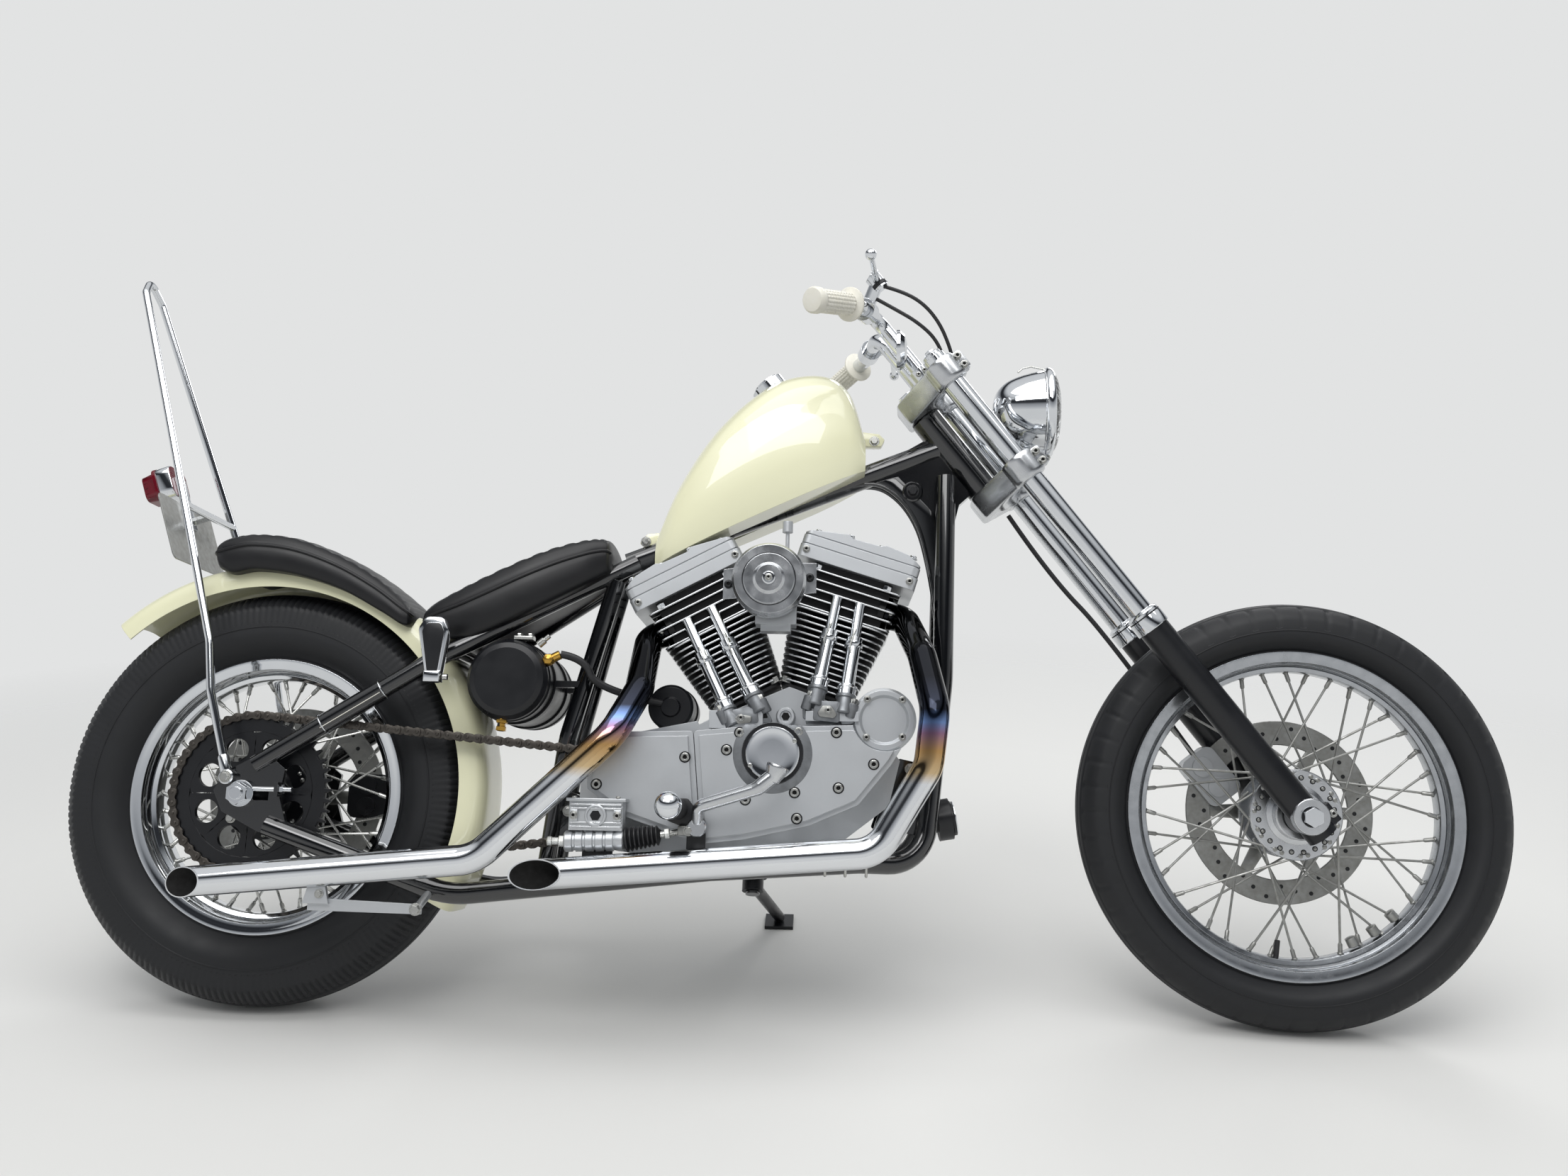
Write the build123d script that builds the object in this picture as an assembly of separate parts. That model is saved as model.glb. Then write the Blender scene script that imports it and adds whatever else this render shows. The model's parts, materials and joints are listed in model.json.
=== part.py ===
from build123d import *
import math
import os

# Chopper motorcycle with a 45 degree V-twin, a rigid rear frame and a raked fork, leaning on its side stand.
# Everything is drawn on the upright machine, in millimetres: X forward, Y to its left, Z up,
# with the rear axle above the origin. At the end each piece is turned with the fork where it
# belongs to the fork, leaned to the left, and moved so that the tyres stand on Z = 0.

# Stance
LEAN = 18.0
STEER_AT_REST = -5.0
STEER_SETTLE = 3.05
WHEELBASE = 1619.0
RAKE = 38.0
FORK_OFFSET = 56.0

# Wheels and tyres
REAR_TYRE_RADIUS = 327.5
REAR_TYRE_HALF = 62.0
REAR_SHOULDER_DROP = 28.0
REAR_RIM_RADIUS = 216.7
REAR_RIM_HALF = 42.0
FRONT_TYRE_RADIUS = 331.5
FRONT_TYRE_HALF = 50.0
FRONT_SHOULDER_DROP = 26.0
FRONT_RIM_RADIUS = 254.5
FRONT_RIM_HALF = 32.0
FLANGE_HEIGHT = 14.0
RIM_WALL = 4.0
WELL_DEPTH = 14.0
SHOULDER_INSET = 4.0
SEAT_GAP = 0.3
SPOKES_A_SET = 10
SPOKE_RADIUS = 2.2
SPOKE_LACE = 58.0

# Hubs, axles and brakes
HUB_FLANGE_RADIUS = 70.0
HUB_BARREL_RADIUS = 30.0
HUB_BOSS_RADIUS = 38.0
HUB_FLANGE_HALF = 3.5
FRONT_FLANGE_Y = 34.0
REAR_FLANGE_Y = 40.0
AXLE_RADIUS = 9.5
AXLE_GAP = 0.3
SPACER_RADIUS = 15.0
AXLE_NUT_RADIUS = 17.0
DISC_RADIUS = 146.0
DISC_INNER = 108.0
DISC_THICK = 5.0
DISC_RUNNING_GAP = 3.5
DISC_TO_SLIDER = 8.0
REAR_DISC_Y = 86.0
SPROCKET_Y = -90.0
SPROCKET_THICK = 8.0
SPROCKET_HOLE_RADIUS = 18.0
SPROCKET_HOLE_CIRCLE = 72.0

# Chain
CHAIN_PITCH = 15.875
SPROCKET_TEETH = 48
OUTPUT_TEETH = 21
CHAIN_LINKS = 116
CHAIN_RISE = 1.2
PLATE_OFFSET = 7.5
PLATE_HALF_HEIGHT = 7.0
PLATE_THICK = 2.4
ROLLER_RADIUS = 5.08
ROOT_DEPTH = 5.2

# Fork
FORK_HALF = 92.0
FORK_TUBE_RADIUS = 19.5
SLIDER_RADIUS = 24.0
FRONT_DISC_Y = FORK_HALF - SLIDER_RADIUS - DISC_TO_SLIDER
SLIDER_BOTTOM = -36.0
SLIDER_TOP = 386.0
LOWER_CLAMP_AT = 680.0
TOP_CLAMP_AT = 880.0
TUBE_TOP = 912.0
CLAMP_THICK = 42.0
CLAMP_WALL = 8.0
CLAMP_FRONT = -14.0
HEAD_RADIUS = 27.0
STEM_RADIUS = 12.5
STEM_GAP = 1.0
BEARING_GAP = 2.0

# Handlebar
BAR_RADIUS = 12.7
GRIP_RADIUS = 17.0
GRIP_FLANGE_RADIUS = 27.0
RISER_Y = 43.0
RISER_LENGTH = 132.0
# where the grip's flange and end lie: up the steering axis, ahead of it, and to the side
GRIP_FLANGE_AT = (1042.2, 6.1, 145.0)
GRIP_END_AT = (1062.9, -62.7, 245.0)

# Frame tubes
STAY_RADIUS = 14.0
RAIL_RADIUS = 16.0
BACKBONE_RADIUS = 19.0
NECK_HALF = 12.0
STAY_Y = 118.0
PLATE_HALF = 4.0
POST_Y = 48.0
SLEEVE_AT = 117.0
SLEEVE_LENGTH = 106.0
ADJUSTER_EYE = 9.0
ADJUSTER_RADIUS = 4.0
ADJUSTER_TAB_X = 53.0

# Engine
CRANK_X = 828.0
CRANK_Z = 371.0
ENGINE_PITCH = 5.5
BANK_HALF = 22.5
BASE_REACH = 136.0
BARREL_LENGTH = 128.0
HEAD_LENGTH = 76.0
PORT_HEIGHT = 32.0
PORT_REACH = BASE_REACH + BARREL_LENGTH + PORT_HEIGHT
PORT_BOSS_RADIUS = 31.0
MANIFOLD_RADIUS = 19.0
MANIFOLD_Y = -20.0
BARREL_HALF = 48.0
BARREL_FINS = 13
HEAD_FINS = 5
FIN_THICK = 2.4
BARREL_FIN_HALF = 62.0
BARREL_FIN_FLARE = 1.6
HEAD_CORE_HALF_X = 65.0
HEAD_CORE_HALF_Y = 60.0
HEAD_FIN_HALF_X = 82.0
HEAD_FIN_HALF_Y = 74.0
BOX_HALF_Y = 76.0
COVER_FLANGE = 8.0
COVER_STEP = 7.0
TIMING_X = 807.0
TIMING_Z = 403.0
ROUND_COVER_X = 975.0
ROUND_COVER_Z = 459.0
ROUND_COVER_RADIUS = 49.0
COVER_FACE_Y = -150.0
COVER_INNER_Y = -104.0
CASE_RIGHT_Y = -68.0
CASE_LEFT_Y = 86.0
PRIMARY_FACE_Y = 158.0

# Exhaust
PIPE_RADIUS = 22.2
PIPE_WALL = 1.6
PIPE_Y = -190.0

# Rear fender
FENDER_X = -6.0
FENDER_Z = 336.0
FENDER_CLEARANCE = 36.5
FENDER_RADIUS = REAR_TYRE_RADIUS + FENDER_CLEARANCE
FENDER_HALF = 70.0
FENDER_SKIN = 3.0
FENDER_FRONT = -30.0
FENDER_REAR = 134.0

# Tank, seats and oil tank
TANK_GAP = 0.6
OIL_TANK_RADIUS = 63.0
OIL_TANK_HALF = 118.0
OIL_TANK_TO_FENDER = 6.9
OIL_TANK_BEARING = 23.79

# Side stand
STAND_PIVOT = (768.0, 152.0, 198.0)
STAND_FOOT_X = 808.0
STAND_FOOT_REACH = 395.0
STAND_PAD_THICK = 6.0
STAND_EYE_RADIUS = 18.0
STAND_PIN_RADIUS = 8.0
STAND_PIN_TILT = 18.35
STAND_EYE_HALF = 12.0

PARTS = {}


def v(x, y, z):
    return Vector(x, y, z)


def mirror_y(shape):
    return mirror(shape, about=Plane.XZ)


def rod(start, end, radius, bore=0.0):
    # round bar, or a tube where a bore is given, between two points
    start = Vector(start)
    end = Vector(end)
    plane = Plane(origin=start, z_dir=end - start)
    length = (end - start).length
    bar = extrude(plane * Circle(radius), amount=length)
    if bore:
        bar -= extrude(plane * Circle(bore), amount=length)
    return bar


def hexagon_bar(start, end, radius):
    start = Vector(start)
    end = Vector(end)
    plane = Plane(origin=start, z_dir=end - start)
    return extrude(plane * RegularPolygon(radius, 6), amount=(end - start).length)


def bent(points, radii, radius):
    # tube along straight runs that arcs join, one radius for each corner
    path = FilletPolyline(*points, radius=radii)
    plane = Plane(origin=path @ 0, z_dir=path % 0)
    return sweep(plane * Circle(radius), path=path)


def slab(outline, y_low, y_high, corner=0.0):
    # plate parallel to the side of the machine: outline is a list of (x, z)
    plane = Plane(origin=(0, y_high, 0), x_dir=(1, 0, 0), z_dir=(0, -1, 0))
    face = make_face(Polyline(*outline, close=True))
    if corner:
        face = fillet(face.vertices(), corner)
    return extrude(plane * face, amount=y_high - y_low)


def turned(profile, centre=(0, 0, 0)):
    # revolves a closed outline about the axle line, given as (radius, y) corners or as edges
    corners = isinstance(profile[0], tuple)
    face = make_face(Polyline(*profile, close=True) if corners else profile)
    return Pos(*centre) * revolve(Plane.XY * face, axis=Axis.Y)


def disc_y(x, z, radius, y_low, y_high):
    return rod((x, y_low, z), (x, y_high, z), radius)


def box_at(x0, x1, y0, y1, z0, z1):
    return Pos((x0 + x1) / 2, (y0 + y1) / 2, (z0 + z1) / 2) * Box(x1 - x0, y1 - y0, z1 - z0)


def crown_radius(half, drop):
    return (half * half + drop * drop) / (2 * drop)


# Where the axles are
rear_crown = crown_radius(REAR_TYRE_HALF - SHOULDER_INSET, REAR_SHOULDER_DROP)
front_crown = crown_radius(FRONT_TYRE_HALF - SHOULDER_INSET, FRONT_SHOULDER_DROP)
lean_share = 1 / math.cos(math.radians(LEAN)) - 1
REAR_AXLE_Z = REAR_TYRE_RADIUS
FRONT_AXLE_Z = FRONT_TYRE_RADIUS + (front_crown - rear_crown) * lean_share + STEER_SETTLE
# leaning over, the tyres stand on the side of their crown, a little below the upright machine's ground
TYRE_SINK = rear_crown * (1 - math.cos(math.radians(LEAN)))
rake_sin = math.sin(math.radians(RAKE))
rake_cos = math.cos(math.radians(RAKE))
FORK_UP = Vector(-rake_sin, 0, rake_cos)
FORK_FRONT = Vector(rake_cos, 0, rake_sin)
FRONT_AXLE = Vector(WHEELBASE, 0, FRONT_AXLE_Z)


def on_fork(up, front=0.0, y=0.0):
    # a point in the fork: its distance up the legs from the axle, ahead of their line, and to the left
    return FRONT_AXLE + FORK_UP * up + FORK_FRONT * front + Vector(0, y, 0)


def on_head(up, front=0.0, y=0.0):
    # the same, from the steering axis
    return on_fork(up, front - FORK_OFFSET, y)


def tyre(radius, half, drop, rim_radius, rim_half):
    seat = rim_radius - FLANGE_HEIGHT + SEAT_GAP
    inner = rim_half - RIM_WALL - SEAT_GAP
    shoulder = half - SHOULDER_INSET
    mid = rim_radius + (radius - drop - rim_radius) * 0.45
    bead = rim_radius + 2
    crown = crown_radius(shoulder, drop)
    tread_edge = shoulder * 0.55
    tread_fall = crown - math.sqrt(crown * crown - tread_edge * tread_edge)
    side = [(seat, inner), (bead, inner), (mid, half), (radius - drop, shoulder), (radius - tread_fall, tread_edge)]
    return turned([(r, -y) for r, y in side] + [(radius, 0)] + list(reversed(side)))


def rim(rim_radius, rim_half):
    seat = rim_radius - FLANGE_HEIGHT
    well = seat - WELL_DEPTH
    inner = rim_half - RIM_WALL
    well_half = inner * 0.4
    half = [(rim_radius, rim_half), (rim_radius, inner), (seat, inner), (well, well_half)]
    under = [(well - RIM_WALL, well_half + 1), (seat - RIM_WALL, rim_half)]
    top = half + [(r, -y) for r, y in reversed(half)]
    bottom = [(r, -y) for r, y in reversed(under)] + under
    return turned(top + bottom)


def hub(right_end, left_end, flange_y):
    bore = AXLE_RADIUS + AXLE_GAP
    outer = flange_y + HUB_FLANGE_HALF
    inner = flange_y - HUB_FLANGE_HALF
    profile = [
        (bore, right_end),
        (HUB_BOSS_RADIUS, right_end),
        (HUB_BOSS_RADIUS, -outer),
        (HUB_FLANGE_RADIUS, -outer),
        (HUB_FLANGE_RADIUS, -inner),
        (HUB_BARREL_RADIUS, -inner),
        (HUB_BARREL_RADIUS, inner),
        (HUB_FLANGE_RADIUS, inner),
        (HUB_FLANGE_RADIUS, outer),
        (HUB_BOSS_RADIUS, outer),
        (HUB_BOSS_RADIUS, left_end),
        (bore, left_end),
    ]
    return turned(profile)


def spokes(rim_radius, flange_y):
    # side of the hub, direction round it, first rim hole in degrees, and how far out of the flange the head sits
    sets = [(-1, 1, 0.0, 2.5), (-1, -1, 18.0, -3.0), (1, 1, 9.0, 2.5), (1, -1, 27.0, -3.0)]
    foot = rim_radius - FLANGE_HEIGHT - WELL_DEPTH - RIM_WALL + 1
    head = HUB_FLANGE_RADIUS - 7
    result = []
    for side, way, first, out in sets:
        for k in range(SPOKES_A_SET):
            at_rim = math.radians(first + k * 360 / SPOKES_A_SET)
            at_hub = at_rim + math.radians(way * SPOKE_LACE)
            start = (head * math.cos(at_hub), side * (flange_y + out), head * math.sin(at_hub))
            end = (foot * math.cos(at_rim), side * 4.0, foot * math.sin(at_rim))
            result.append(hexagon_bar(start, end, SPOKE_RADIUS))
    return result


def wire_wheel(rim_radius, rim_half, right_end, left_end, flange_y):
    wheel = rim(rim_radius, rim_half) + hub(right_end, left_end, flange_y)
    return wheel.fuse(*spokes(rim_radius, flange_y))


def brake_disc(y):
    # friction ring on a carrier that has six arms and seats on the hub
    half = DISC_THICK / 2
    ring = disc_y(0, 0, DISC_RADIUS, y - half, y + half)
    ring -= disc_y(0, 0, DISC_INNER, y - DISC_THICK, y + DISC_THICK)
    carrier = disc_y(0, 0, HUB_BOSS_RADIUS + 16, y - half, y + half)
    for k in range(3):
        carrier += Rot(0, k * 60, 0) * Pos(0, y, 0) * Box(2 * DISC_INNER + 4, DISC_THICK, 22)
    carrier -= disc_y(0, 0, HUB_BOSS_RADIUS + SEAT_GAP, y - DISC_THICK, y + DISC_THICK)
    return ring + carrier


# Wheels, drawn about the origin and then moved to their axles
def front_wheel_parts():
    to_axle = Pos(WHEELBASE, 0, FRONT_AXLE_Z)
    PARTS["front_tyre"] = ("front_wheel", to_axle * tyre(
        FRONT_TYRE_RADIUS, FRONT_TYRE_HALF, FRONT_SHOULDER_DROP, FRONT_RIM_RADIUS, FRONT_RIM_HALF))
    hub_end = FRONT_DISC_Y + DISC_THICK / 2
    PARTS["front_wire_wheel"] = ("front_wheel", to_axle * wire_wheel(
        FRONT_RIM_RADIUS, FRONT_RIM_HALF, -hub_end, hub_end, FRONT_FLANGE_Y))
    PARTS["front_brake_disc"] = ("front_wheel", to_axle * brake_disc(FRONT_DISC_Y))


def sprocket():
    # roller valleys at the pitch radius, one for each tooth, and lightening holes round the hub
    pitch_radius = CHAIN_PITCH / (2 * math.sin(math.pi / SPROCKET_TEETH))
    tip = pitch_radius + 4.5
    root = pitch_radius - ROOT_DEPTH
    step = 360 / SPROCKET_TEETH
    outline = []
    for k in range(SPROCKET_TEETH):
        for share, radius in ((-0.3, root), (0.3, root), (0.42, tip), (0.58, tip)):
            a = math.radians((k + share) * step)
            outline.append((radius * math.cos(a), radius * math.sin(a)))
    low = SPROCKET_Y - SPROCKET_THICK / 2
    high = SPROCKET_Y + SPROCKET_THICK / 2
    plate = slab(outline, low, high) - disc_y(0, 0, HUB_BOSS_RADIUS + SEAT_GAP, low - 1, high + 1)
    for k in range(8):
        a = math.radians(22.5 + k * 45)
        x = SPROCKET_HOLE_CIRCLE * math.cos(a)
        z = SPROCKET_HOLE_CIRCLE * math.sin(a)
        plate -= disc_y(x, z, SPROCKET_HOLE_RADIUS, low - 1, high + 1)
    return plate


def rear_wheel_parts():
    to_axle = Pos(0, 0, REAR_AXLE_Z)
    right_end = SPROCKET_Y - SPROCKET_THICK / 2
    left_end = REAR_DISC_Y + DISC_THICK / 2
    PARTS["rear_tyre"] = ("rear_wheel", to_axle * tyre(
        REAR_TYRE_RADIUS, REAR_TYRE_HALF, REAR_SHOULDER_DROP, REAR_RIM_RADIUS, REAR_RIM_HALF))
    PARTS["rear_wire_wheel"] = ("rear_wheel", to_axle * wire_wheel(
        REAR_RIM_RADIUS, REAR_RIM_HALF, right_end, left_end, REAR_FLANGE_Y))
    PARTS["rear_sprocket"] = ("rear_wheel", to_axle * sprocket())
    PARTS["rear_brake_disc"] = ("rear_wheel", to_axle * brake_disc(REAR_DISC_Y))


# Chain: two side plates round both sprockets, joined by the rollers that lie between the teeth
def chain_parts():
    rear_radius = CHAIN_PITCH / (2 * math.sin(math.pi / SPROCKET_TEETH))
    small_radius = CHAIN_PITCH / (2 * math.sin(math.pi / OUTPUT_TEETH))
    straight = CHAIN_LINKS * CHAIN_PITCH - math.pi * (rear_radius + small_radius)
    gap = rear_radius - small_radius
    between = (straight + math.sqrt(straight * straight - 8 * gap * gap)) / 4
    rise = math.radians(CHAIN_RISE)
    spread = math.asin(gap / between)
    rear_centre = Vector(0, 0, REAR_AXLE_Z)
    small_centre = rear_centre + Vector(math.cos(rise), 0, math.sin(rise)) * between
    top_way = math.pi / 2 + rise - spread
    low_way = -math.pi / 2 + rise + spread

    def around(centre, radius, angle):
        return centre + Vector(math.cos(angle), 0, math.sin(angle)) * radius

    def loop(offset):
        rear = rear_radius + offset
        small = small_radius + offset
        back = rise + math.pi
        corners = [around(rear_centre, rear, top_way), around(rear_centre, rear, back),
                   around(rear_centre, rear, low_way), around(small_centre, small, low_way),
                   around(small_centre, small, rise), around(small_centre, small, top_way)]
        a, b, c, d, e, f = [(point.X, point.Z) for point in corners]
        return make_face([ThreePointArc(a, b, c), Line(c, d), ThreePointArc(d, e, f), Line(f, a)])

    face = loop(PLATE_HALF_HEIGHT) - loop(-PLATE_HALF_HEIGHT)
    pieces = []
    for y_mid in (SPROCKET_Y - PLATE_OFFSET, SPROCKET_Y + PLATE_OFFSET):
        plane = Plane(origin=(0, y_mid + PLATE_THICK / 2, 0), x_dir=(1, 0, 0), z_dir=(0, -1, 0))
        pieces.append(extrude(plane * face, amount=PLATE_THICK))
    # one roller in each valley of the rear sprocket that the chain wraps, then one a pitch along both runs
    valley = 2 * math.pi / SPROCKET_TEETH
    first = math.ceil(top_way / valley)
    last = math.floor((low_way + 2 * math.pi) / valley)
    seats = [around(rear_centre, rear_radius, k * valley) for k in range(first, last + 1)]
    for way, end_valley, sign in ((top_way, first, 1), (low_way + 2 * math.pi, last, -1)):
        start = around(rear_centre, rear_radius, way)
        end = around(small_centre, small_radius, way)
        run = end - start
        lead = CHAIN_PITCH - rear_radius * sign * (end_valley * valley - way)
        count = int((run.length - lead) / CHAIN_PITCH)
        seats += [start + run.normalized() * (lead + k * CHAIN_PITCH) for k in range(count + 1)]
    half = PLATE_OFFSET - PLATE_THICK / 4
    for seat in seats:
        pieces.append(hexagon_bar(seat + Vector(0, SPROCKET_Y - half, 0), seat + Vector(0, SPROCKET_Y + half, 0),
                                  ROLLER_RADIUS))
    PARTS["drive_chain"] = ("frame", pieces[0].fuse(*pieces[1:]))
    # the output sprocket and its boss, and the room that the chain needs round them inside the covers
    x, z = small_centre.X, small_centre.Z
    inner_face = SPROCKET_Y + SPROCKET_THICK / 2
    output = disc_y(x, z, small_radius - ROOT_DEPTH, SPROCKET_Y - SPROCKET_THICK / 2, inner_face)
    output += disc_y(x, z, small_radius - ROOT_DEPTH - 10, inner_face, CASE_RIGHT_Y + 8)
    room = disc_y(x, z, small_radius + PLATE_HALF_HEIGHT + 3, COVER_INNER_Y, CASE_RIGHT_Y)
    return output, room


# side view of the crankcase and gearbox
CASE_OUTLINE = [(506, 262), (700, 236), (905, 268), (985, 330), (1002, 400), (962, 456), (926, 478),
                (828, 512), (716, 462), (560, 430), (506, 420)]


# Frame: neck, backbone and two cradle tubes in one piece
def stand_bracket():
    # plate under the left rail, square to the stand's pin, with the pin below it
    tilt = Vector(0, math.sin(math.radians(STAND_PIN_TILT)), math.cos(math.radians(STAND_PIN_TILT)))
    pivot = Vector(STAND_PIVOT)
    under = STAND_EYE_HALF + 0.5
    plane = Plane(origin=pivot + tilt * under, x_dir=(1, 0, 0), z_dir=tilt)
    plate = extrude(plane * Pos(0, -16) * RectangleRounded(46, 70, 12), amount=9)
    pin = rod(pivot - tilt * (under + 4), pivot + tilt * (under + 4), STAND_PIN_RADIUS)
    head = rod(pivot - tilt * (under + 5), pivot - tilt * under, STAND_PIN_RADIUS + 4)
    return plate + pin + head


def frame_parts():
    head_low = on_head(LOWER_CLAMP_AT + CLAMP_THICK / 2 + BEARING_GAP)
    head_high = on_head(TOP_CLAMP_AT - CLAMP_THICK / 2 - BEARING_GAP)
    head = rod(head_low, head_high, HEAD_RADIUS)
    bore = rod(head_low - FORK_UP, head_high + FORK_UP, STEM_RADIUS + STEM_GAP)
    spine = rod(v(556, 0, 717), on_head(800, -8), BACKBONE_RADIUS)
    # the neck's front corners are set from the steering axis: the lower clamp turns just below them
    low_back = on_head(706, -50)
    low_front = on_head(708, -26)
    high_front = on_head(806, -8)
    high_back = on_head(828, -30)
    neck = slab([(930, 866), (1001, 853), (1022, 817), (1050, 756), (1058, 700), (1079, 712), (1090, 781),
                 (low_back.X, low_back.Z), (low_front.X, low_front.Z), (high_front.X, high_front.Z),
                 (high_back.X, high_back.Z)], -NECK_HALF, NECK_HALF)
    body = spine + neck + head
    # down tube, then the rail below the engine, then up to the axle plate
    cradle = bent([on_head(754.3, -41.2, -24), v(1070, -52, 527), v(1036, -84, 243), v(940, -106, 245),
                   v(715, -114, 229), v(325, -STAY_Y, 184), v(40, -STAY_Y, 281)],
                  [300, 62, 60, 200, 150], RAIL_RADIUS)
    foot_tube = rod(v(338, -106, 185), v(338, 106, 185), 10)
    # plates that hold the front of the crankcase between the down tubes
    mount = slab([(962, 296), (1040, 286), (1052, 330), (1058, 392), (1000, 404)], -66, -58, 4)
    mount -= slab(CASE_OUTLINE, CASE_RIGHT_Y - SEAT_GAP, CASE_LEFT_Y + SEAT_GAP)
    mount -= slab([(x + SEAT_GAP, z) for x, z in CASE_OUTLINE], CASE_RIGHT_Y - SEAT_GAP, CASE_LEFT_Y + SEAT_GAP)
    body = body + cradle + mirror_y(cradle) + mount + mirror_y(mount) + foot_tube + stand_bracket() - bore
    PARTS["main_frame"] = ("frame", body)

    # rear end: axle plates, upper stays, seat posts and two cross tubes
    stay = bent([v(14, -STAY_Y, 371), v(270, -112, 536), v(574, -25, 715)], [150], STAY_RADIUS)
    post = bent([v(543, -34, 682), v(478, -POST_Y, 423), v(452, -POST_Y, 200)], [150], STAY_RADIUS)
    plate = slab([(-46, 332), (-26, 362), (28, 392), (62, 366), (56, 326), (70, 284), (30, 270), (-30, 300)],
                 -STAY_Y - PLATE_HALF, -STAY_Y + PLATE_HALF, 4)
    slot_half = AXLE_RADIUS + SEAT_GAP
    slot = slab([(-12, REAR_AXLE_Z - slot_half), (40, REAR_AXLE_Z - slot_half),
                 (40, REAR_AXLE_Z + slot_half), (-12, REAR_AXLE_Z + slot_half)], -STAY_Y - 20, -STAY_Y + 20)
    # the sleeve on the stay, the tab that the axle's adjuster bolt goes through, and the gearbox's rear mount
    stay_way = (v(270, -112, 536) - v(14, -STAY_Y, 371)).normalized()
    sleeve_start = v(14, -STAY_Y, 371) + stay_way * SLEEVE_AT
    sleeve = rod(sleeve_start, sleeve_start + stay_way * SLEEVE_LENGTH, STAY_RADIUS + 2)
    adjuster_y = -STAY_Y - PLATE_HALF - SEAT_GAP - ADJUSTER_EYE / 2
    tab = box_at(ADJUSTER_TAB_X, ADJUSTER_TAB_X + 6, adjuster_y - 9, -STAY_Y, REAR_AXLE_Z - 4, REAR_AXLE_Z + 18)
    tab -= rod(v(ADJUSTER_TAB_X - 9, adjuster_y, REAR_AXLE_Z + 7), v(ADJUSTER_TAB_X + 9, adjuster_y, REAR_AXLE_Z + 7),
               ADJUSTER_RADIUS + SEAT_GAP)
    gearbox_back = CASE_OUTLINE[0][0] - SEAT_GAP
    mount = slab([(462, 270), (gearbox_back, 280), (gearbox_back, 336), (468, 350)], -POST_Y - 5, -POST_Y + 5)
    side = stay + post + plate + sleeve + tab + mount - slot
    rear = side + mirror_y(side)
    for x, y_half, z, radius in ((452, 106, 200, STAY_RADIUS), (303, 96, 552, 12.0)):
        rear += rod(v(x, -y_half, z), v(x, y_half, z), radius)
    PARTS["rear_frame"] = ("frame", rear - PARTS["main_frame"][1])


def axle_parts():
    rear_out = STAY_Y + PLATE_HALF + SEAT_GAP
    nut_in = rear_out + ADJUSTER_EYE + SEAT_GAP
    rear = rod((0, -nut_in - 18, REAR_AXLE_Z), (0, nut_in + 18, REAR_AXLE_Z), AXLE_RADIUS)
    hub_right = SPROCKET_Y - SPROCKET_THICK / 2 - 0.5
    hub_left = REAR_DISC_Y + DISC_THICK / 2 + 0.5
    plate_in = STAY_Y - PLATE_HALF - SEAT_GAP
    rear += disc_y(0, REAR_AXLE_Z, SPACER_RADIUS, -plate_in, hub_right)
    rear += disc_y(0, REAR_AXLE_Z, SPACER_RADIUS, hub_left, plate_in)
    for side in (-1, 1):
        rear += hexagon_bar((0, side * nut_in, REAR_AXLE_Z), (0, side * (nut_in + 14), REAR_AXLE_Z), AXLE_NUT_RADIUS)
        # adjuster: an eye on the axle with a bolt drawn forward through the frame's tab by its nut
        y = side * (rear_out + ADJUSTER_EYE / 2)
        ends = sorted((side * rear_out, side * (rear_out + ADJUSTER_EYE)))
        rear += disc_y(0, REAR_AXLE_Z, AXLE_NUT_RADIUS + 3, ends[0], ends[1])
        bolt_z = REAR_AXLE_Z + 7
        nut_x = ADJUSTER_TAB_X + 6 + SEAT_GAP
        rear += rod((12, y, bolt_z), (nut_x + 18, y, bolt_z), ADJUSTER_RADIUS)
        rear += hexagon_bar((nut_x, y, bolt_z), (nut_x + 6, y, bolt_z), 7)
    PARTS["rear_axle"] = ("frame", rear)
    leg_out = FORK_HALF + SLIDER_RADIUS + SEAT_GAP
    leg_in = FORK_HALF - SLIDER_RADIUS - SEAT_GAP
    hub_end = FRONT_DISC_Y + DISC_THICK / 2 + 0.5
    front = rod((WHEELBASE, -leg_out - 6, FRONT_AXLE_Z), (WHEELBASE, leg_out + 6, FRONT_AXLE_Z), AXLE_RADIUS)
    for side in (-1, 1):
        ends = sorted((side * hub_end, side * leg_in))
        front += disc_y(WHEELBASE, FRONT_AXLE_Z, SPACER_RADIUS, ends[0], ends[1])
        front += hexagon_bar((WHEELBASE, side * leg_out, FRONT_AXLE_Z),
                             (WHEELBASE, side * (leg_out + 12), FRONT_AXLE_Z), AXLE_NUT_RADIUS - 2)
    PARTS["front_axle"] = ("fork", front)


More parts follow.
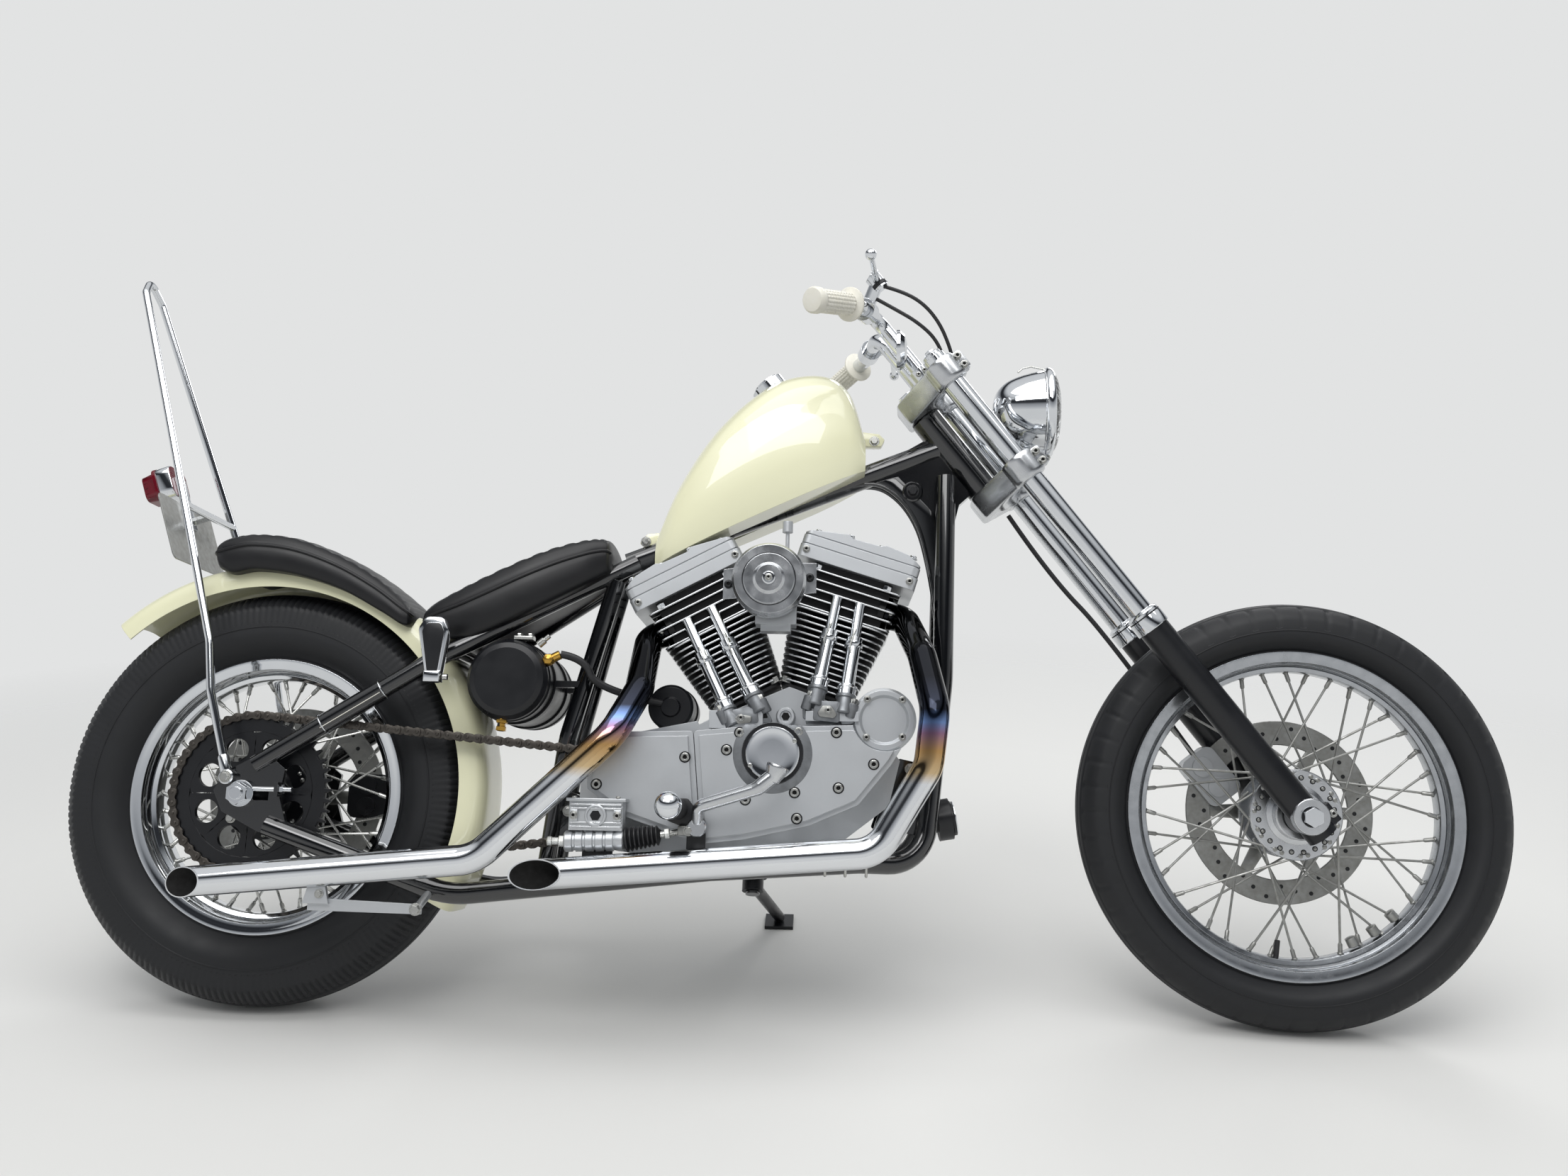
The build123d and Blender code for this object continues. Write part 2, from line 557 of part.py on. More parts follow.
def fork_parts():
    tubes = []
    sliders = []
    axle_hole = rod((WHEELBASE, -200, FRONT_AXLE_Z), (WHEELBASE, 200, FRONT_AXLE_Z), AXLE_RADIUS + AXLE_GAP)
    for side in (-1, 1):
        y = side * FORK_HALF
        tubes.append(rod(on_fork(SLIDER_TOP + SEAT_GAP, 0, y), on_fork(TUBE_TOP, 0, y), FORK_TUBE_RADIUS))
        tubes[-1] += rod(on_fork(TUBE_TOP, 0, y), on_fork(TUBE_TOP + 6, 0, y), FORK_TUBE_RADIUS - 3)
        slider = rod(on_fork(SLIDER_BOTTOM, 0, y), on_fork(SLIDER_TOP, 0, y), SLIDER_RADIUS)
        # seal collar at the top, a wall step below it, and the axle's lug with its split clamp at the foot
        slider += rod(on_fork(SLIDER_TOP - 26, 0, y), on_fork(SLIDER_TOP - 4, 0, y), SLIDER_RADIUS + 2.5)
        slider += disc_y(WHEELBASE, FRONT_AXLE_Z, 27, y - SLIDER_RADIUS, y + SLIDER_RADIUS)
        clamp_plane = Plane(origin=on_fork(-30, 0, y), x_dir=FORK_FRONT, z_dir=FORK_UP)
        slider += extrude(clamp_plane * Pos(24, 0) * RectangleRounded(24, 26, 4), amount=30)
        slider -= extrude(clamp_plane * Pos(26, 0) * Rectangle(34, 2.5), amount=32)
        sliders.append(slider - axle_hole)
    PARTS["fork_tubes"] = ("fork", tubes)
    PARTS["fork_sliders"] = ("fork", sliders)

    def clamp(up):
        # outline in the clamp's plane: x ahead of the fork legs, y to the left
        plane = Plane(origin=on_fork(up - CLAMP_THICK / 2), x_dir=FORK_FRONT, z_dir=FORK_UP)
        back = -FORK_OFFSET - 30
        half = [(back, 30), (0, FORK_HALF + 27), (22, FORK_HALF + 8), (22, FORK_HALF - 14), (CLAMP_FRONT, FORK_HALF - 32)]
        outline = half + [(x, -y) for x, y in reversed(half)]
        block = extrude(plane * make_face(Polyline(*outline, close=True)), amount=CLAMP_THICK)
        for side in (-1, 1):
            ring = FORK_TUBE_RADIUS + CLAMP_WALL
            block += rod(on_fork(up - CLAMP_THICK / 2, 0, side * FORK_HALF),
                         on_fork(up + CLAMP_THICK / 2, 0, side * FORK_HALF), ring)
            # split ears in front of the leg, which the pinch bolt draws together
            ears = Pos(ring + 2, side * FORK_HALF, CLAMP_THICK / 2) * Box(18, 24, CLAMP_THICK - 8)
            split = Pos(ring, side * FORK_HALF, CLAMP_THICK / 2) * Box(30, 3, CLAMP_THICK + 2)
            block = block + plane * ears - plane * split
        return block

    clamps = clamp(LOWER_CLAMP_AT) + clamp(TOP_CLAMP_AT)
    top_face = TOP_CLAMP_AT + CLAMP_THICK / 2
    clamps += rod(on_head(LOWER_CLAMP_AT), on_head(top_face + 8), STEM_RADIUS)
    clamps += hexagon_bar(on_head(top_face), on_head(top_face + 10), STEM_RADIUS + 7)
    for side in (-1, 1):
        clamps -= rod(on_fork(LOWER_CLAMP_AT - 60, 0, side * FORK_HALF),
                      on_fork(TOP_CLAMP_AT + 60, 0, side * FORK_HALF), FORK_TUBE_RADIUS + SEAT_GAP)
    PARTS["fork_clamps"] = ("fork", clamps)


# Handlebar: each side rises from the top clamp, turns outwards and is pulled back to its grip
def bar_parts():
    foot_up = TOP_CLAMP_AT + CLAMP_THICK / 2 + SEAT_GAP
    bars = []
    grips = []
    controls = []
    # side, lever pivot and lever ball for the machine's right and left, each as up, ahead and sideways
    levers = [(-1, (1061.2, 56.4, 120), (1067.1, 52.1, 235)), (1, (1028.0, 53.4, 118), (1011.8, 48.2, 245))]
    for side, pivot_at, ball_at in levers:
        foot = on_head(foot_up, 33, side * RISER_Y)
        knee = foot + FORK_UP * RISER_LENGTH
        flange = on_head(GRIP_FLANGE_AT[0], GRIP_FLANGE_AT[1], side * GRIP_FLANGE_AT[2])
        end = on_head(GRIP_END_AT[0], GRIP_END_AT[1], side * GRIP_END_AT[2])
        way = (end - flange).normalized()
        bar = bent([foot, knee, flange, end - way * 6], [26, 40], BAR_RADIUS)
        grip = rod(flange + way * 22, end, GRIP_RADIUS) + rod(flange + way * 22, flange + way * 28, GRIP_FLANGE_RADIUS)
        grip += rod(end - way * 9, end, GRIP_RADIUS + 3)
        grips.append(grip - bar)
        # collar that bolts the riser to the clamp
        bars.append(bar + rod(foot, foot + FORK_UP * 22, BAR_RADIUS + 5))
        inward = (knee - flange).normalized()
        ring_at = flange + inward * 38
        pivot = on_head(pivot_at[0], pivot_at[1], side * pivot_at[2])
        ball = on_head(ball_at[0], ball_at[1], side * ball_at[2])
        ring = rod(ring_at - inward * 14, ring_at + inward * 14, BAR_RADIUS + 6)
        post = rod(ring_at, pivot, 11)
        reach = ball - pivot
        lever = rod(pivot, pivot + reach * 0.4, 6) + rod(pivot, ball, 4.5) + Pos(*ball) * Sphere(9)
        perch = rod(pivot - FORK_UP * 12, pivot + FORK_UP * 12, 13)
        control = ring + post + lever + perch
        controls.append(control - rod(ring_at - inward * 30, ring_at + inward * 30, BAR_RADIUS + SEAT_GAP))
    PARTS["grips"] = ("fork", grips)
    PARTS["handlebar"] = ("fork", bars)
    PARTS["hand_controls"] = ("fork", controls)
    # round mirror: a shallow dish with a rim, on a stalk from the right riser
    mirror_at = on_head(958.3, 19.2, -92)
    stalk_root = on_head(970.9, 29, -RISER_Y - BAR_RADIUS - SEAT_GAP)
    dish = turned([(0, 0), (28, 0), (30, -2), (33, -2), (33, 4), (26, 11), (12, 15), (0, 15)])
    PARTS["mirror"] = ("fork", Pos(*mirror_at) * Rot(0, 0, -90) * dish + rod(mirror_at + v(5, 0, 0), stalk_root, 5) - bars[0])


def lamp_parts():
    # shell, bezel and lens turned about the beam: radius, then how far along it
    outline = [(0, -57), (14, -57), (36, -48), (54, -30), (65, -4), (70, 22), (75, 24), (75, 38), (70, 40), (66, 40),
               (50, 47), (26, 51), (0, 52)]
    shell = turned(outline)
    lamp = Pos(*on_fork(762.7, 82)) * Rot(0, 0, -90) * shell
    arm_at = LOWER_CLAMP_AT + 10
    arm = rod(on_fork(arm_at, CLAMP_FRONT + SEAT_GAP), on_fork(arm_at, 30), 10)
    stud = rod(on_fork(arm_at, 22), on_fork(716.7, 43.5), 10) + rod(on_fork(arm_at, 14), on_fork(arm_at, 30), 15)
    PARTS["headlamp"] = ("fork", lamp + arm + stud)


def bank_up(sign):
    # the way a cylinder points: sign is -1 for the rear one and 1 for the front one
    angle = math.radians(ENGINE_PITCH - sign * BANK_HALF)
    return Vector(-math.sin(angle), 0, math.cos(angle))


def covered(outline, inner_y, face_y):
    # a cast cover seen from the side: its flange against the case and the face that stands out of it
    step = COVER_STEP if face_y > inner_y else -COVER_STEP
    low, high = sorted((inner_y, face_y - step))
    cover = slab(outline, low, high, 6)
    plane = Plane(origin=(0, max(face_y, face_y - step), 0), x_dir=(1, 0, 0), z_dir=(0, -1, 0))
    face = offset(make_face(Polyline(*outline, close=True)), amount=-COVER_FLANGE)
    return cover + extrude(plane * face, amount=COVER_STEP)


def engine_parts():
    crank = v(CRANK_X, 0, CRANK_Z)
    cylinders = []
    boxes = []
    barrel_pitch = BARREL_LENGTH / (BARREL_FINS + 0.5)
    head_pitch = HEAD_LENGTH / HEAD_FINS
    # layers of a rocker box: foot and top above the head, ends towards the rear and towards the vee, half width
    layers = [(0, 21, -100, 96, BOX_HALF_Y), (21, 23, -97, 93, BOX_HALF_Y - 3), (23, 37, -99, 95, BOX_HALF_Y - 1),
              (37, 39, -96, 92, BOX_HALF_Y - 4), (39, 60, -98, 94, BOX_HALF_Y - 2)]
    for sign in (-1, 1):
        up = bank_up(sign)
        across = Vector(up.Z, 0, -up.X)

        def deck(reach):
            return Plane(origin=crank + up * (BASE_REACH + reach), x_dir=across, z_dir=up)

        body = extrude(deck(0) * RectangleRounded(2 * BARREL_HALF, 2 * BARREL_HALF, 26), amount=BARREL_LENGTH + 2)
        body += extrude(deck(0) * RectangleRounded(2 * BARREL_HALF + 16, 2 * BARREL_HALF + 16, 14), amount=5)
        for k in range(BARREL_FINS):
            side = 2 * (BARREL_FIN_HALF + BARREL_FIN_FLARE * k)
            body += extrude(deck((k + 1) * barrel_pitch) * RectangleRounded(side, side, 34), amount=FIN_THICK)
        body += extrude(deck(BARREL_LENGTH) * Rectangle(2 * HEAD_CORE_HALF_X, 2 * HEAD_CORE_HALF_Y), amount=HEAD_LENGTH)
        for k in range(HEAD_FINS):
            fin = RectangleRounded(2 * HEAD_FIN_HALF_X, 2 * HEAD_FIN_HALF_Y, 8)
            body += extrude(deck(BARREL_LENGTH + k * head_pitch) * fin, amount=FIN_THICK)
        # bosses round the exhaust port, and room in the fins for the pipe's flange and the inlet manifold
        body += rod(port(sign, HEAD_CORE_HALF_X - 10, -34), port(sign, HEAD_CORE_HALF_X, -34), PORT_BOSS_RADIUS)
        body -= rod(port(sign, HEAD_CORE_HALF_X, -34), port(sign, HEAD_FIN_HALF_X + 4, -34), PORT_BOSS_RADIUS + SEAT_GAP)
        body -= rod(port(sign, -HEAD_CORE_HALF_X, MANIFOLD_Y), port(sign, -HEAD_FIN_HALF_X - 4, MANIFOLD_Y),
                    MANIFOLD_RADIUS + SEAT_GAP)
        cylinders.append(body)
        # rocker box: three castings with gasket seams between them, under a stepped lid
        top = BARREL_LENGTH + HEAD_LENGTH + SEAT_GAP
        box = None
        for foot, roof, rear_end, vee_end, half_y in layers:
            middle = -sign * (rear_end + vee_end) / 2
            outline = Pos(middle, 0) * RectangleRounded(vee_end - rear_end, 2 * half_y, 12)
            layer = extrude(deck(top + foot) * outline, amount=roof - foot)
            box = layer if box is None else box + layer
        # the lid seen from the side: distance towards the vee, height above the head
        roof = [(-110, -2), (106, -2), (106, 36), (84, 45), (26, 56), (18, 51), (-28, 53), (-36, 57), (-74, 53), (-110, 36)]
        points = [crank + up * (BASE_REACH + top + height) - across * (sign * toward) for toward, height in roof]
        boxes.append(box & slab([(point.X, point.Z) for point in points], -BOX_HALF_Y - 2, BOX_HALF_Y + 2))
    PARTS["cylinders"] = ("frame", cylinders)
    PARTS["rocker_boxes"] = ("frame", boxes)

    # crankcase with its gearbox: a heavy closed block that the covers and cylinders stand on
    case = slab(CASE_OUTLINE, CASE_RIGHT_Y, CASE_LEFT_Y)
    for sign in (-1, 1):
        up = bank_up(sign)
        case -= rod(crank + up * (BASE_REACH - SEAT_GAP), crank + up * 300, 110)
    # the output sprocket stands out of the case behind its cover
    PARTS["crankcase"] = ("frame", case + output_sprocket)
    sprocket_cover = covered([(530, 346), (530, 430), (686, 435), (703, 268), (587, 306)], COVER_INNER_Y, COVER_FACE_Y)
    cam = covered([(687, 435), (744, 441), (926, 448), (1008, 430), (986, 392), (936, 330), (863, 298),
                   (767, 276), (704, 268)], CASE_RIGHT_Y - SEAT_GAP, COVER_FACE_Y) - chain_room
    # round timing cover on its raised ring
    cam += disc_y(TIMING_X, TIMING_Z, 46, COVER_FACE_Y - 3, COVER_FACE_Y)
    cam += disc_y(TIMING_X, TIMING_Z, 40, COVER_FACE_Y - 7, COVER_FACE_Y - 3)
    primary = covered([(520, 276), (690, 246), (880, 262), (960, 310), (978, 380), (936, 440), (860, 470),
                       (560, 432), (516, 400)], CASE_LEFT_Y + SEAT_GAP, PRIMARY_FACE_Y)
    primary += disc_y(594, 350, 48, PRIMARY_FACE_Y, PRIMARY_FACE_Y + 5)
    round_face = -118
    rim = ROUND_COVER_RADIUS
    dish = turned([(0, round_face + 5), (rim - 15, round_face + 5), (rim - 11, round_face), (rim - 4, round_face),
                   (rim, round_face + 4), (rim, CASE_RIGHT_Y - SEAT_GAP), (0, CASE_RIGHT_Y - SEAT_GAP)],
                  (ROUND_COVER_X, 0, ROUND_COVER_Z))
    cam -= disc_y(ROUND_COVER_X, ROUND_COVER_Z, rim + 0.5, -200, 0)
    PARTS["engine_covers"] = ("frame", [sprocket_cover, cam, dish, primary])


def pushrod_parts():
    # bank, then the foot of each tube and where its line meets the head: x, z, x, z
    spans = [(-1, 734, 470, 660, 622), (-1, 774, 492, 697, 644), (1, 873, 506, 903, 665), (1, 916, 494, 939, 658)]
    blocks = []
    for x0, z0, x1, z1 in ((708, 441, 790, 468), (855, 455, 936, 470)):
        block = box_at(x0, x1, -124, CASE_RIGHT_Y - SEAT_GAP, z0, z1)
        blocks.append(block - PARTS["engine_covers"][1][1] - PARTS["engine_covers"][1][2])
    PARTS["engine_covers"] = ("frame", PARTS["engine_covers"][1] + blocks)
    tubes = []
    rooms = []
    fin_reach = BASE_REACH + BARREL_LENGTH + 2 * HEAD_LENGTH / HEAD_FINS - SEAT_GAP
    for sign, x0, z0, x1, z1 in spans:
        up = bank_up(sign)
        low = v(x0, -112, z0)
        high = v(x1, -68, z1)
        reach = (high - v(CRANK_X, -68, CRANK_Z)).dot(up)
        high = high + (high - low) * ((fin_reach - reach) / (high - low).dot(up))
        mid = low + (high - low) * 0.58
        above = Plane(origin=v(CRANK_X, 0, CRANK_Z) + up * fin_reach, z_dir=up)
        trim = extrude(above * Rectangle(600, 400), amount=60)
        way = (high - low).normalized()
        tube = rod(low, mid, 11) + rod(mid, high + (high - low) * 0.05, 9)
        # sealing collars at the foot and where the upper tube slides into the lower
        tube += rod(low, low + way * 12, 14) + rod(mid - way * 9, mid + way * 5, 13)
        tubes.append(tube - trim - blocks[0] - blocks[1])
        room = rod(mid, high + (high - low) * 0.05, 10.5) + rod(mid - way * 12, mid + way * 7, 14)
        rooms.append(room - trim)
    PARTS["pushrod_tubes"] = ("frame", tubes)
    rear, front = PARTS["cylinders"][1]
    PARTS["cylinders"] = ("frame", [rear - rooms[0] - rooms[1], front - rooms[2] - rooms[3]])


def intake_parts():
    face = -205
    back = face + 34
    bowl = turned([(0, back), (56, back), (56, face + 14), (52, face + 8), (40, face + 8), (38, face + 4), (24, face + 4),
                   (20, face), (0, face)], (797, 0, 660))
    bowl += slab([(727, 632), (727, 678), (752, 682), (842, 690), (868, 690), (868, 644)], back, back + 3)
    PARTS["air_cleaner"] = ("frame", bowl)
    carb = disc_y(800, 655, 26, back + 3 + SEAT_GAP, -60) + disc_y(800, 655, 31, -100, -92)
    carb += box_at(776, 838, -155, -112, 598, 640) + box_at(784, 830, -149, -118, 588, 598)
    carb += rod(v(822, -134, 636), v(822, -134, 745), 3) + rod(v(822, -134, 745), v(822, -134, 762), 8)
    # inlet manifold: one neck from the carburettor, parting to both heads
    fork = v(799, MANIFOLD_Y, 674)
    carb += rod(v(800, -62, 657), fork, MANIFOLD_RADIUS) + Pos(*fork) * Sphere(MANIFOLD_RADIUS)
    for sign in (-1, 1):
        near = port(sign, -HEAD_CORE_HALF_X - SEAT_GAP, MANIFOLD_Y)
        carb += rod(near, port(sign, -HEAD_CORE_HALF_X - 14, MANIFOLD_Y), MANIFOLD_RADIUS)
        carb += rod(port(sign, -HEAD_CORE_HALF_X - 12, MANIFOLD_Y), fork, MANIFOLD_RADIUS - 1)
    PARTS["carburettor"] = ("frame", carb - PARTS["cylinders"][1][0] - PARTS["cylinders"][1][1])


def port(sign, outward, y):
    # a point level with the head's port, so far out from the cylinder's middle
    up = bank_up(sign)
    across = Vector(up.Z, 0, -up.X)
    return v(CRANK_X, y, CRANK_Z) + up * PORT_REACH + across * (sign * outward)


def pipe_parts():
    # the path from the port to the mouth, then the corner radii
    start = HEAD_CORE_HALF_X + SEAT_GAP
    spans = {
        "front_exhaust": ([port(1, start, -34), port(1, start + 34, -48), v(1030, -140, 556), v(1046, PIPE_Y, 470),
                           v(1036, PIPE_Y, 386), v(962, PIPE_Y, 262), v(424, PIPE_Y, 216)], [30, 40, 60, 60, 56]),
        "rear_exhaust": ([port(-1, start, -34), port(-1, start + 34, -48), v(602, -140, 496), v(572, PIPE_Y, 424),
                          v(380, PIPE_Y, 240), v(-82, PIPE_Y, 194)], [30, 40, 60, 70]),
    }
    ports = []
    for name, (points, radii) in spans.items():
        sign = 1 if name == "front_exhaust" else -1
        flange = rod(port(sign, start, -34), port(sign, start + 9, -34), PORT_BOSS_RADIUS - 2)
        pipe = bent(points, radii, PIPE_RADIUS) + flange
        ports.append(rod(points[0], points[1], PIPE_RADIUS + SEAT_GAP))
        way = (points[-1] - points[-2]).normalized()
        pipe -= rod(points[-1] - way * 320, points[-1] + way, PIPE_RADIUS - PIPE_WALL)
        if name == "front_exhaust":
            # slash-cut mouth, open to the side
            slash = Plane(origin=points[-1] - way * 26, z_dir=way * 0.7 + v(0, -0.7, 0))
            pipe -= extrude(slash * Rectangle(200, 200), amount=90)
        PARTS[name] = ("frame", pipe)
    rear, front = PARTS["cylinders"][1]
    PARTS["cylinders"] = ("frame", [rear - ports[1], front - ports[0]])
    hanger = slab([(134, 172), (172, 172), (164, 204), (142, 204)], -193, -186)
    hanger += slab([(140, 162), (306, 160), (306, 174), (140, 180)], -187, -182)
    hanger += rod(v(298, -183, 167), v(298, -STAY_Y, 190), 6)
    rear_run = rod(v(380, PIPE_Y, 240), v(-82, PIPE_Y, 194), PIPE_RADIUS)
    PARTS["pipe_hanger"] = ("frame", hanger - PARTS["main_frame"][1] - rear_run)


def tank_section(x, bottom, top, half):
    # across the tank: flat foot, bulging sides and a rounded top
    shoulder = bottom + (top - bottom) * 0.62
    plane = Plane(origin=(x, 0, 0), x_dir=(0, 1, 0), z_dir=(1, 0, 0))
    inner = half * 0.9
    edges = [
        Line((-inner, bottom), (inner, bottom)),
        ThreePointArc((inner, bottom), (half, (bottom + shoulder) / 2), (inner, shoulder)),
        ThreePointArc((inner, shoulder), (0, top), (-inner, shoulder)),
        ThreePointArc((-inner, shoulder), (-half, (bottom + shoulder) / 2), (-inner, bottom)),
    ]
    return plane * make_face(edges)


def body_parts():
    # station along the machine, foot, crown and half width
    stations = [(604, 708, 760, 40), (640, 725, 852, 66), (704, 755, 953, 84), (790, 795, 1028, 92),
                (870, 832, 1044, 92), (918, 855, 1012, 80), (944, 868, 930, 62)]
    tank = loft([tank_section(*station) for station in stations])
    spine_low = v(556, 0, 717)
    spine_high = on_head(800, -8)
    half = BACKBONE_RADIUS + TANK_GAP
    run = spine_high - spine_low
    lift = half * run.length / run.X
    tunnel = slab([(spine_low.X, spine_low.Z + lift), (spine_high.X, spine_high.Z + lift),
                   (spine_high.X, spine_high.Z - 140), (spine_low.X, spine_low.Z - 100)], -half, half)
    # mounting tabs at both ends, over the spine
    front_tab = slab([(930, 924), (972, 924), (978, 936), (968, 946), (930, 950)], -9, 9)
    rear_tab = slab([(572, 752), (594, 740), (622, 740), (622, 772), (586, 768)], -9, 9)
    PARTS["fuel_tank"] = ("frame", tank + front_tab + rear_tab - tunnel)
    cap_way = v(-14, 0, 17).normalized()
    cap_foot = v(792, 0, 1014)
    cap = rod(cap_foot, cap_foot + cap_way * 22, 30) + rod(cap_foot, cap_foot + cap_way * 26, 24)
    PARTS["tank_cap"] = ("frame", cap - tank)

    # fender section: distance from the wheel's centre and sideways place
    outer = FENDER_RADIUS
    skirt = outer - 42
    skin = FENDER_SKIN
    half = [(skirt, FENDER_HALF), (outer - 10, FENDER_HALF - 4), (outer, FENDER_HALF - 34)]
    inside = [(outer - skin, FENDER_HALF - 36), (outer - skin - 9, FENDER_HALF - 7), (skirt, FENDER_HALF - skin)]
    profile = half + [(r, -y) for r, y in reversed(half)] + [(r, -y) for r, y in reversed(inside)] + inside
    section = Plane.XY * make_face(Polyline(*profile, close=True))
    to_fender = Pos(FENDER_X, 0, FENDER_Z)
    arc = FENDER_REAR - FENDER_FRONT
    fender = to_fender * revolve(section, axis=Axis.Y, revolution_arc=arc).rotate(Axis.Y, -FENDER_REAR)
    PARTS["rear_fender"] = ("frame", fender)
    solid_profile = half + [(r, -y) for r, y in reversed(half)]
    filled = Plane.XY * make_face(Polyline(*([(r + SEAT_GAP, y * 1.005) for r, y in solid_profile]), close=True))
    fender_space = to_fender * revolve(filled, axis=Axis.Y)

    sissy_y = STAY_Y + PLATE_HALF + SEAT_GAP + 6.35
    leg = [v(-23, sissy_y, 352), v(-62, sissy_y, 481), v(-76, sissy_y - 8, 561), v(-296, 28, 1176)]
    points = leg + [v(-306, 0, 1208)] + [v(p.X, -p.Y, p.Z) for p in reversed(leg)]
    bar = bent(points, [60, 60, 14, 14, 14, 60, 60], 6.35)
    bar += rod(v(-157, -84, 788), v(-157, 84, 788), 6)
    for side in (-1, 1):
        ends = sorted((side * (sissy_y - 5.5), side * (sissy_y + 5.5)))
        bar += disc_y(leg[0].X, leg[0].Z, 10, ends[0], ends[1])
    # plate and lamp hang on a strap behind the cross bar; x is ahead of the strap's back, z up along it
    strap_at = Pos(-190, 0, 776) * Rot(0, -math.degrees(math.atan2(220, 615)), 0)
    bar += strap_at * Pos(2, 0, 34) * Box(4, 32, 92) + strap_at * Pos(20, 0, 0) * Box(36, 20, 6)
    PARTS["sissy_bar"] = ("frame", bar)
    behind = strap_at * Rot(0, -90, 0)
    plate = behind * Pos(-24, 0, SEAT_GAP) * extrude(RectangleRounded(116, 180, 10), amount=2)
    PARTS["number_plate"] = ("frame", plate)
    # lamp: a shell with rounded corners, a lip and the lens standing out of it
    lamp = extrude(RectangleRounded(54, 58, 14), amount=28)
    lamp += Pos(0, 0, 24) * extrude(RectangleRounded(58, 62, 16), amount=6)
    lamp += Pos(0, 0, 30) * extrude(RectangleRounded(50, 54, 13), amount=20, taper=8)
    PARTS["tail_lamp"] = ("frame", behind * Pos(73, 0, SEAT_GAP) * lamp)

    pad_outline = [(-90, 676), (-104, 718), (-31, 731), (34, 728), (102, 710), (168, 675), (222, 632),
                   (214, 604), (185, 610), (110, 650), (37, 672), (-30, 680)]
    PARTS["rear_seat"] = ("frame", slab(pad_outline, -92, 92, 5) - fender_space)
    pad_outline = [(252, 576), (244, 606), (284, 640), (336, 676), (404, 700), (524, 726), (556, 722), (564, 700),
                   (476, 648), (366, 590), (300, 570)]
    front_pad = slab(pad_outline, -104, 104, 5)
    PARTS["front_seat"] = ("frame", front_pad - PARTS["rear_frame"][1] - PARTS["main_frame"][1] - fender_space)
    oil_reach = FENDER_RADIUS + OIL_TANK_TO_FENDER + OIL_TANK_RADIUS
    oil_x = FENDER_X + oil_reach * math.cos(math.radians(OIL_TANK_BEARING))
    oil_z = FENDER_Z + oil_reach * math.sin(math.radians(OIL_TANK_BEARING))
    r = OIL_TANK_RADIUS
    end = OIL_TANK_HALF
    half = [(0, end), (r - 14, end), (r - 6, end - 4), (r, end - 12), (r, end - 24), (r + 1.6, end - 26),
            (r + 1.6, end - 30), (r, end - 32)]
    oil = turned(half + [(radius, -y) for radius, y in reversed(half)], (oil_x, 0, oil_z))
    # unions for the two hoses, on the right end of the tank
    union_at = v(oil_x + 79, 18 - end, oil_z + 41)
    oil += rod(v(oil_x + 40, 18 - end, oil_z + 20.8), union_at, 5.5)
    oil += rod(v(oil_x - 4, 18 - end, oil_z - 40), v(oil_x - 8, 18 - end, oil_z - 76), 5.5)
    straps = [oil - PARTS["rear_frame"][1]]
    for side in (-1, 1):
        y0, y1 = sorted((side * (POST_Y - 8), side * (POST_Y + 8)))
        strap = disc_y(oil_x, oil_z, r + 3, y0, y1) - disc_y(oil_x, oil_z, r + SEAT_GAP, y0 - 1, y1 + 1)
        arm = box_at(oil_x + r - 4, 500, y0, y1, oil_z - 5, oil_z + 5) - disc_y(oil_x, oil_z, r + 1, y0 - 1, y1 + 1)
        straps.append(strap + arm - PARTS["rear_frame"][1])
    PARTS["oil_tank"] = ("frame", straps)
    starter = turned([(0, -54), (14, -54), (16, -50), (32, -50), (36, -46), (36, 20), (38, 20), (38, 26), (36, 26),
                      (36, 70), (0, 70)], (640, 0, 478))
    PARTS["starter_motor"] = ("frame", starter - PARTS["cylinders"][1][0] - PARTS["crankcase"][1])
    hose = bent([union_at, v(508, -90, 548), v(524, -84, 500), v(632, -44, 482)], [18, 30], 6)
    PARTS["oil_lines"] = ("frame", hose - straps[0] - PARTS["starter_motor"][1])


